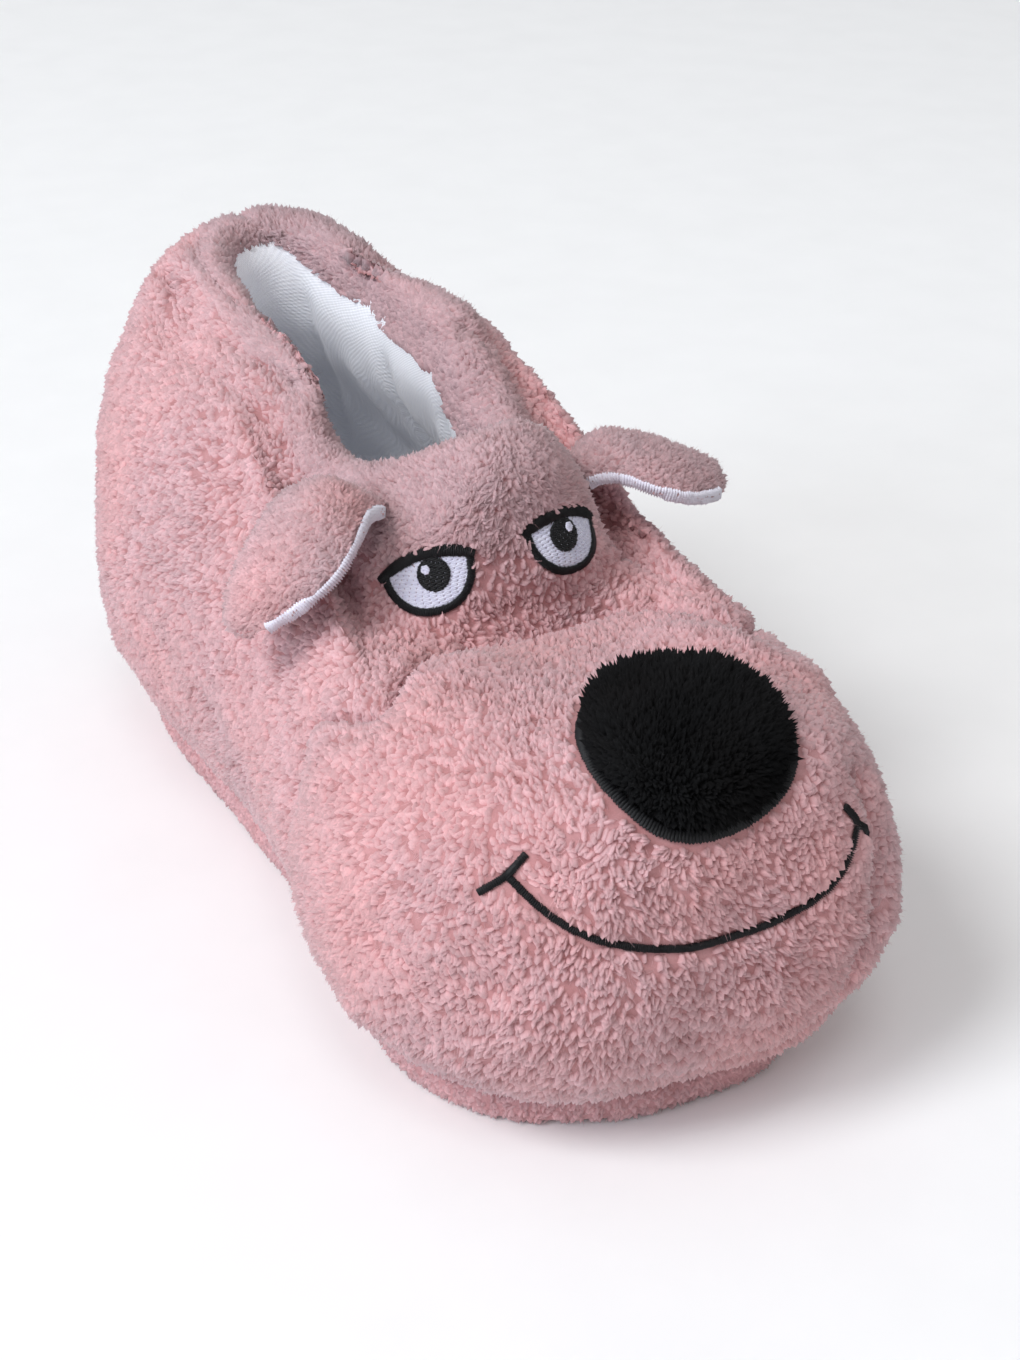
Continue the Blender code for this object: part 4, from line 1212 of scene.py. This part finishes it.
def nose(cloth, tree):
    """The plush nose with its satin border. Gives the spots that it covers."""
    forward = np.array([math.sin(SWING), -math.cos(SWING), 0.0])
    level = np.array([math.cos(SWING), math.sin(SWING), 0.0])
    facing = forward * math.cos(NOSE_PITCH) + np.array([0.0, 0.0, math.sin(NOSE_PITCH)])
    upright = np.cross(facing, level)
    centre, _ = cloth.at(NOSE_RING, NOSE_TURN)
    across = level * math.cos(NOSE_ROLL) + upright * math.sin(NOSE_ROLL)
    patch = Patch(tree, centre, facing, across)

    def lay(share, angle):
        share = share * (1.0 + 0.016 * np.sin(2.0 * angle + 0.6) + 0.012 * np.sin(5.0 * angle + 2.0))
        beside = np.cos(angle) * share * NOSE_WIDTH / 2 * MM
        return patch.lay(beside, np.sin(angle) * share * NOSE_DEPTH / 2 * MM)

    def raised(share, angle, height):
        """Give points on the dome, its normals there and the direction out from its middle."""
        base, normals = lay(share * pile_reach(angle), angle)
        out = patch.level * np.cos(angle)[:, None] + patch.upright * np.sin(angle)[:, None]
        dome = np.sqrt(np.maximum(0.0, 1.0 - np.minimum(share, 1.0) ** 4))
        tilted = unit(normals + out * (1.5 * share ** 5)[:, None])
        return base + normals * (NOSE_SEAT + height * dome)[:, None] * MM, tilted, out

    turn = circle(NOSE_COLUMNS)
    share, angle = np.meshgrid(np.linspace(1.0, 0.02, NOSE_ROWS), turn, indexing="ij")
    share = np.concatenate([0.95 / pile_reach(turn)[None], share])
    angle = np.concatenate([turn[None], angle])
    points, _, _ = raised(share.ravel(), angle.ravel(), NOSE_CORE)
    faces = grid_faces(NOSE_ROWS + 1, NOSE_COLUMNS)
    made = mesh_piece("nose_core", points, faces, BLACK_PLUSH, replaced=["nose"])
    # The core shows between the curls and gets a low share of painted light: painted shade between the
    # curls
    paint_pile(made, 0.2, 0.1, 0.4)

    def place(count):
        angle = rng.uniform(0.0, 2.0 * math.pi, count)
        share = 0.985 * np.sqrt(rng.random(count))
        points, normals, out = raised(share, angle, NOSE_CORE + 0.4)
        flow = out * share[:, None] - 0.5 * patch.upright + 0.8 * rng.normal(size=(count, 3))
        return points, normals, along_skin(flow, normals), 0.15 + 0.15 * waves(points, 14 * MM, 51)

    pile("nose", BLACK_PLUSH, NOSE_PILE, NOSE_COUNTS, place)
    turn = np.linspace(0.0, 2.0 * math.pi, 160)
    points, normals = lay(0.945 + 0.0 * turn, turn)
    satin("nose_border", points, normals, NOSE_BORDER, BLACK_THREAD, base=0.7, pitch=0.8, rise=0.6)
    share, angle = np.meshgrid(np.linspace(0.1, 1.0, 16), np.linspace(0.0, 2.0 * math.pi, 90))
    points, _ = lay(share.ravel(), angle.ravel())
    return spots_at(points, NOSE_GAP)


# Ears: name, side and the directions of their length and width, with x towards that side
EAR_WAYS = (
    ("right", -1, (0.90, -0.20, -0.30), (-0.05, -0.95, 0.15)),
    ("left", 1, (0.93, -0.30, 0.28), (-0.10, -0.90, 0.25)),
)
# How far the ear's skin lies in under its pile and how wide its piping is, in millimetres
EAR_INSET = 1.2
PIPING_WIDTH = 4.0
# Faces that look away from the ear's outer side by this much or more are lined with satin
SATIN_FACING = -0.30


def smooth_solid(node):
    """Give a smoothed, finer copy of a solid: points, triangles and normals."""
    copy = add_object("copy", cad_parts[node].data.copy())
    copy.matrix_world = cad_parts[node].matrix_world
    copy.modifiers.new("join", "WELD").merge_threshold = 0.02 * MM
    copy.modifiers.new("finer", "SUBSURF").levels = 2
    found = copy.evaluated_get(bpy.context.evaluated_depsgraph_get())
    mesh = found.to_mesh()
    mesh.calc_loop_triangles()
    points = np.array([copy.matrix_world @ vert.co for vert in mesh.vertices])
    normals = np.array([copy.matrix_world.to_3x3() @ vert.normal for vert in mesh.vertices])
    triangles = np.array([triangle.vertices[:] for triangle in mesh.loop_triangles])
    found.to_mesh_clear()
    bpy.data.objects.remove(copy)
    return points, triangles, unit(normals)


def scatter_on(points, triangles, normals, count, weight):
    """Choose places spread over triangles, with their normals."""
    a, b, c = (points[triangles[:, k]] for k in range(3))
    share = np.linalg.norm(np.cross(b - a, c - a), axis=1) * weight
    chosen = triangles[rng.choice(len(triangles), count, p=share / share.sum())]
    u, v = rng.random((2, count))
    over = u + v > 1.0
    shares = np.stack([1.0 - u - v, u, v], axis=-1)
    shares[over] = np.stack([u + v - 1.0, 1.0 - u, 1.0 - v], axis=-1)[over]
    roots, ways = ((values[chosen] * shares[..., None]).sum(axis=1) for values in (points, normals))
    return roots, unit(ways)


def ear(name, side, length_way, width_way):
    """A fleece ear, lined with satin and edged with a satin piping."""
    along = unit(np.array(length_way) * (side, 1, 1))
    across = along_skin(np.array(width_way) * (side, 1, 1), along)
    out = np.cross(across, along) * side
    points, triangles, normals = smooth_solid(f"ear_{name}")
    inner = points - normals * EAR_INSET * MM

    def rubbed(spots):
        return np.clip(0.75 + 0.35 * waves(spots, 16 * MM, 41), 0.0, 1.0)

    made = mesh_piece(f"ear_{name}_fleece", inner, triangles.tolist(), PINK_FLEECE,
                      replaced=[f"ear_{name}"])
    # The skin shows between the curls and gets a low share of painted light: painted shade between the
    # curls
    paint_pile(made, 0.35, rubbed(points), 0.45)
    facing = normals[triangles].mean(axis=1) @ out
    outer = np.clip(3.0 * (facing + 0.35), 0.0, 1.0)

    def place(count):
        roots, ways = scatter_on(inner, triangles, normals, count, outer)
        flow = along + 0.5 * rng.normal(size=(count, 3))
        return roots, ways, along_skin(flow, ways), rubbed(roots)

    pile(f"ear_{name}", PINK_FLEECE, EAR_PILE, EAR_COUNTS, place)
    used, numbers = np.unique(triangles[facing < SATIN_FACING], return_inverse=True)
    mesh_piece(f"ear_{name}_satin", inner[used] + normals[used] * 0.5 * MM, numbers.reshape(-1, 3).tolist(),
               WHITE_SATIN)
    reach = (points - points.mean(axis=0)) @ along
    edge = []
    for step in np.linspace(np.quantile(reach, 0.10), reach.max() - 2.5 * MM, 16):
        near = np.flatnonzero(np.abs(reach - step) < 1.4 * MM)
        edge.append(near[np.argmax((points @ across - 0.15 * (points @ out))[near])])
    path = points[edge] - normals[edge] * 0.3 * MM
    for _ in range(2):
        path[1:-1] = (path[:-2] + 2 * path[1:-1] + path[2:]) / 4
    satin(f"ear_{name}_piping", path, unit(normals[edge] - 0.2 * out), PIPING_WIDTH, WHITE_SATIN,
          base=0.2, pitch=0.75, rise=0.9)


# Sole: how far in from the outline and how high, in shares of its rounding and its thickness.
# Its pile stands between two of these rows.
SOLE_ROWS = (
    (1.60, 0.05), (1.00, 0.05), (0.62, 0.07), (0.35, 0.12), (0.12, 0.21), (0.0, 0.34), (0.0, 0.50),
    (0.0, 0.66), (0.10, 0.80), (0.35, 0.92), (0.75, 0.99), (1.40, 1.00),
)
SOLE_PILE_FROM = 2.0
SOLE_PILE_TO = 10.0
SOLE_WORN = 0.25
# How far the sole's skin lies in under its pile, in millimetres
SOLE_INSET = 0.88
SOLE_COLUMNS = 360
FLAT_COLUMNS = 240
UNDERSIDE_ROWS = 18
# Grip dots in millimetres, with rows of (share of the radius, share of the height)
DOT_PITCH = 8.5
DOT_RADIUS = 1.5
DOT_HEIGHT = 0.5
DOT_COLUMNS = 8
DOT_ROWS = ((1.0, 1.24), (0.92, 0.60), (0.60, 0.12))
DOTS_FROM_EDGE = 9.0


def outline(place, columns, outward):
    """Give a level ring of the upper, moved out by a distance."""
    ring = form_point(place, turns_of(columns))
    return ring - inward_level(ring[None])[0] * outward


def spread_inwards(edge, shares, height):
    """Give rows of points from an outline to its middle line, at the heights of a function."""
    middle = edge.mean(axis=0)
    spine = middle + (edge - middle) * (0.0, 0.62, 0.0)
    rows = np.stack([edge + (spine - edge) * share for share in shares])
    rows[..., 2] = height(rows, np.array(shares)[:, None])
    return rows


def sole():
    """The soft sole: fleece round its edge, cloth underneath, with small grip dots."""
    rows = []
    for inward, height in SOLE_ROWS:
        ring = outline(0.0, SOLE_COLUMNS, SOLE_OVERHANG - SOLE_INSET * MM - inward * SOLE_ROUNDING)
        ring[:, 2] = height * SOLE_THICKNESS
        rows.append(ring)
    points = np.stack(rows)
    points = points - inward_level(points) * lumps(points, SOLE_LUMPS)[..., None]
    edge = Cloth(points, np.arange(len(rows)) + 0.0, turns_of(SOLE_COLUMNS))
    faces = grid_faces(len(rows), SOLE_COLUMNS)
    made = mesh_piece("sole_edge", points, faces, SOLE_FLEECE, replaced=["outsole"])
    # The edge's skin gets a low share of painted light: painted shade, as in the gaps of the pile
    paint_pile(made, 0.4, 0.2, 0.45)
    on_side = ((edge.places > SOLE_PILE_FROM) & (edge.places < SOLE_PILE_TO))[:, None]
    weight = np.repeat(on_side, SOLE_COLUMNS, axis=1) + 0.001

    def place(count):
        across, along = edge.scatter(count, weight)
        roots = edge.read(edge.points, across, along)
        normals = unit(edge.read(edge.normals, across, along))
        return roots, normals, comb(edge, across, along, SOLE_SPREAD), SOLE_WORN

    pile("sole", SOLE_FLEECE, SOLE_PILE, SOLE_COUNTS, place)

    def under(rows, share):
        return DOT_HEIGHT * MM + lumps(rows, UNDERSIDE_LUMPS) * ease(share * 5.0)

    rim = outline(0.0, FLAT_COLUMNS, SOLE_OVERHANG - 1.1 * SOLE_ROUNDING)
    cloth = spread_inwards(rim, np.linspace(0.0, 1.0, UNDERSIDE_ROWS), under)
    faces = [face[::-1] for face in grid_faces(UNDERSIDE_ROWS, FLAT_COLUMNS)]
    mesh_piece("sole_cloth", cloth, faces, SOLE_CLOTH)
    grip_dots()


def inside_outline(points, edge):
    """Tell which level points lie inside an outline."""
    x, y = points[:, :1], points[:, 1:2]
    x1, y1 = edge[:, 0], edge[:, 1]
    x2, y2 = np.roll(x1, -1), np.roll(y1, -1)
    crossed = ((y1 > y) != (y2 > y)) & (x < (x2 - x1) * (y - y1) / (y2 - y1 + 1e-12) + x1)
    return crossed.sum(axis=1) % 2 == 1


def grip_dots():
    """Small rubber dots in staggered rows under the sole."""
    across = int(MUZZLE_WIDTH / (DOT_PITCH * MM))
    along = int(LENGTH / (DOT_PITCH * MM))
    places = np.array([((c + 0.5 * (r % 2)) * DOT_PITCH, 0.866 * r * DOT_PITCH)
                       for r in range(-along, along) for c in range(-across, across)]) * MM
    edge = outline(0.0, FLAT_COLUMNS, SOLE_OVERHANG - DOTS_FROM_EDGE * MM)
    places = places[inside_outline(places, edge)]
    sizes, heights = np.array(DOT_ROWS).T
    rows = rings_of(DOT_RADIUS * sizes, DOT_HEIGHT * heights, DOT_COLUMNS)
    shape = np.concatenate(rows + [np.zeros((1, 3))]) * (1, -1, 1) * MM
    faces = capped_faces(len(DOT_ROWS), DOT_COLUMNS)
    points = np.concatenate([shape + (x, y, 0.0) for x, y in places])
    every = [tuple(len(shape) * n + k for k in face) for n in range(len(places)) for face in faces]
    mesh_piece("grip_dots", points, every, RUBBER_DOTS)


# Footbed: the stitched line lies at this share of the way in, with stitches so many millimetres apart
STITCH_LINE = 0.16
STITCH_PITCH = 3.4


def insole():
    """The padded footbed with a line of stitches round it."""
    edge = outline(LAST_RING, FLAT_COLUMNS, -0.6 * MM)

    def crown(rows, share):
        rounded = 1.3 * MM * (1.0 - np.sqrt(1.0 - (1.0 - np.minimum(1.0, share * 14.0)) ** 2))
        stitched = 0.5 * MM * np.exp(-((share - STITCH_LINE) / 0.03) ** 2)
        return FOOTBED_TOP - rounded - stitched + lumps(rows, FOOTBED_LUMPS) * ease(share * 4.0)

    shares = np.concatenate([np.linspace(0.0, 0.3, 16), np.linspace(0.34, 1.0, 14)])
    low = edge.copy()
    low[:, 2] = SOLE_THICKNESS + CLEARANCE
    points = np.concatenate([low[None], spread_inwards(edge, shares, crown)])
    faces = grid_faces(len(points), FLAT_COLUMNS)
    made = mesh_piece("footbed", points, faces, FOOTBED_COTTON, replaced=["insole"])
    line = spread_inwards(edge, [STITCH_LINE], crown)[0]
    line = np.concatenate([line, line[:1]])
    run = along_path(line, line, STITCH_PITCH * MM)
    up = np.repeat([[0.0, 0.0, 1.0]], len(run) - 1, axis=0)
    lobes("footbed_stitches", run[:-1], run[:-1] + 0.72 * (run[1:] - run[:-1]), up, 0.55 * MM, 0.35 * MM,
          FOOTBED_COTTON)


# Rows and columns of the skins
FLEECE_GRID = (98, 376)
LINING_GRID = (50, 250)


def main():
    """Set the studio, then make every piece of the slipper."""
    bpy.context.scene.view_settings.view_transform = "Standard"
    camera()
    studio()
    fleece = fleece_cloth(*FLEECE_GRID)
    lining = lining_cloth(*LINING_GRID)
    tree = skin_tree(fleece)
    fleece_shell(fleece)
    cotton_lining(lining)
    covered = seams(fleece) + smile(fleece) + nose(fleece, tree)
    for place in EYE_PLACES:
        covered += eye(*place, fleece, tree)
    upper_pile(fleece, covered)
    for way in EAR_WAYS:
        ear(*way)
    sole()
    insole()


main()
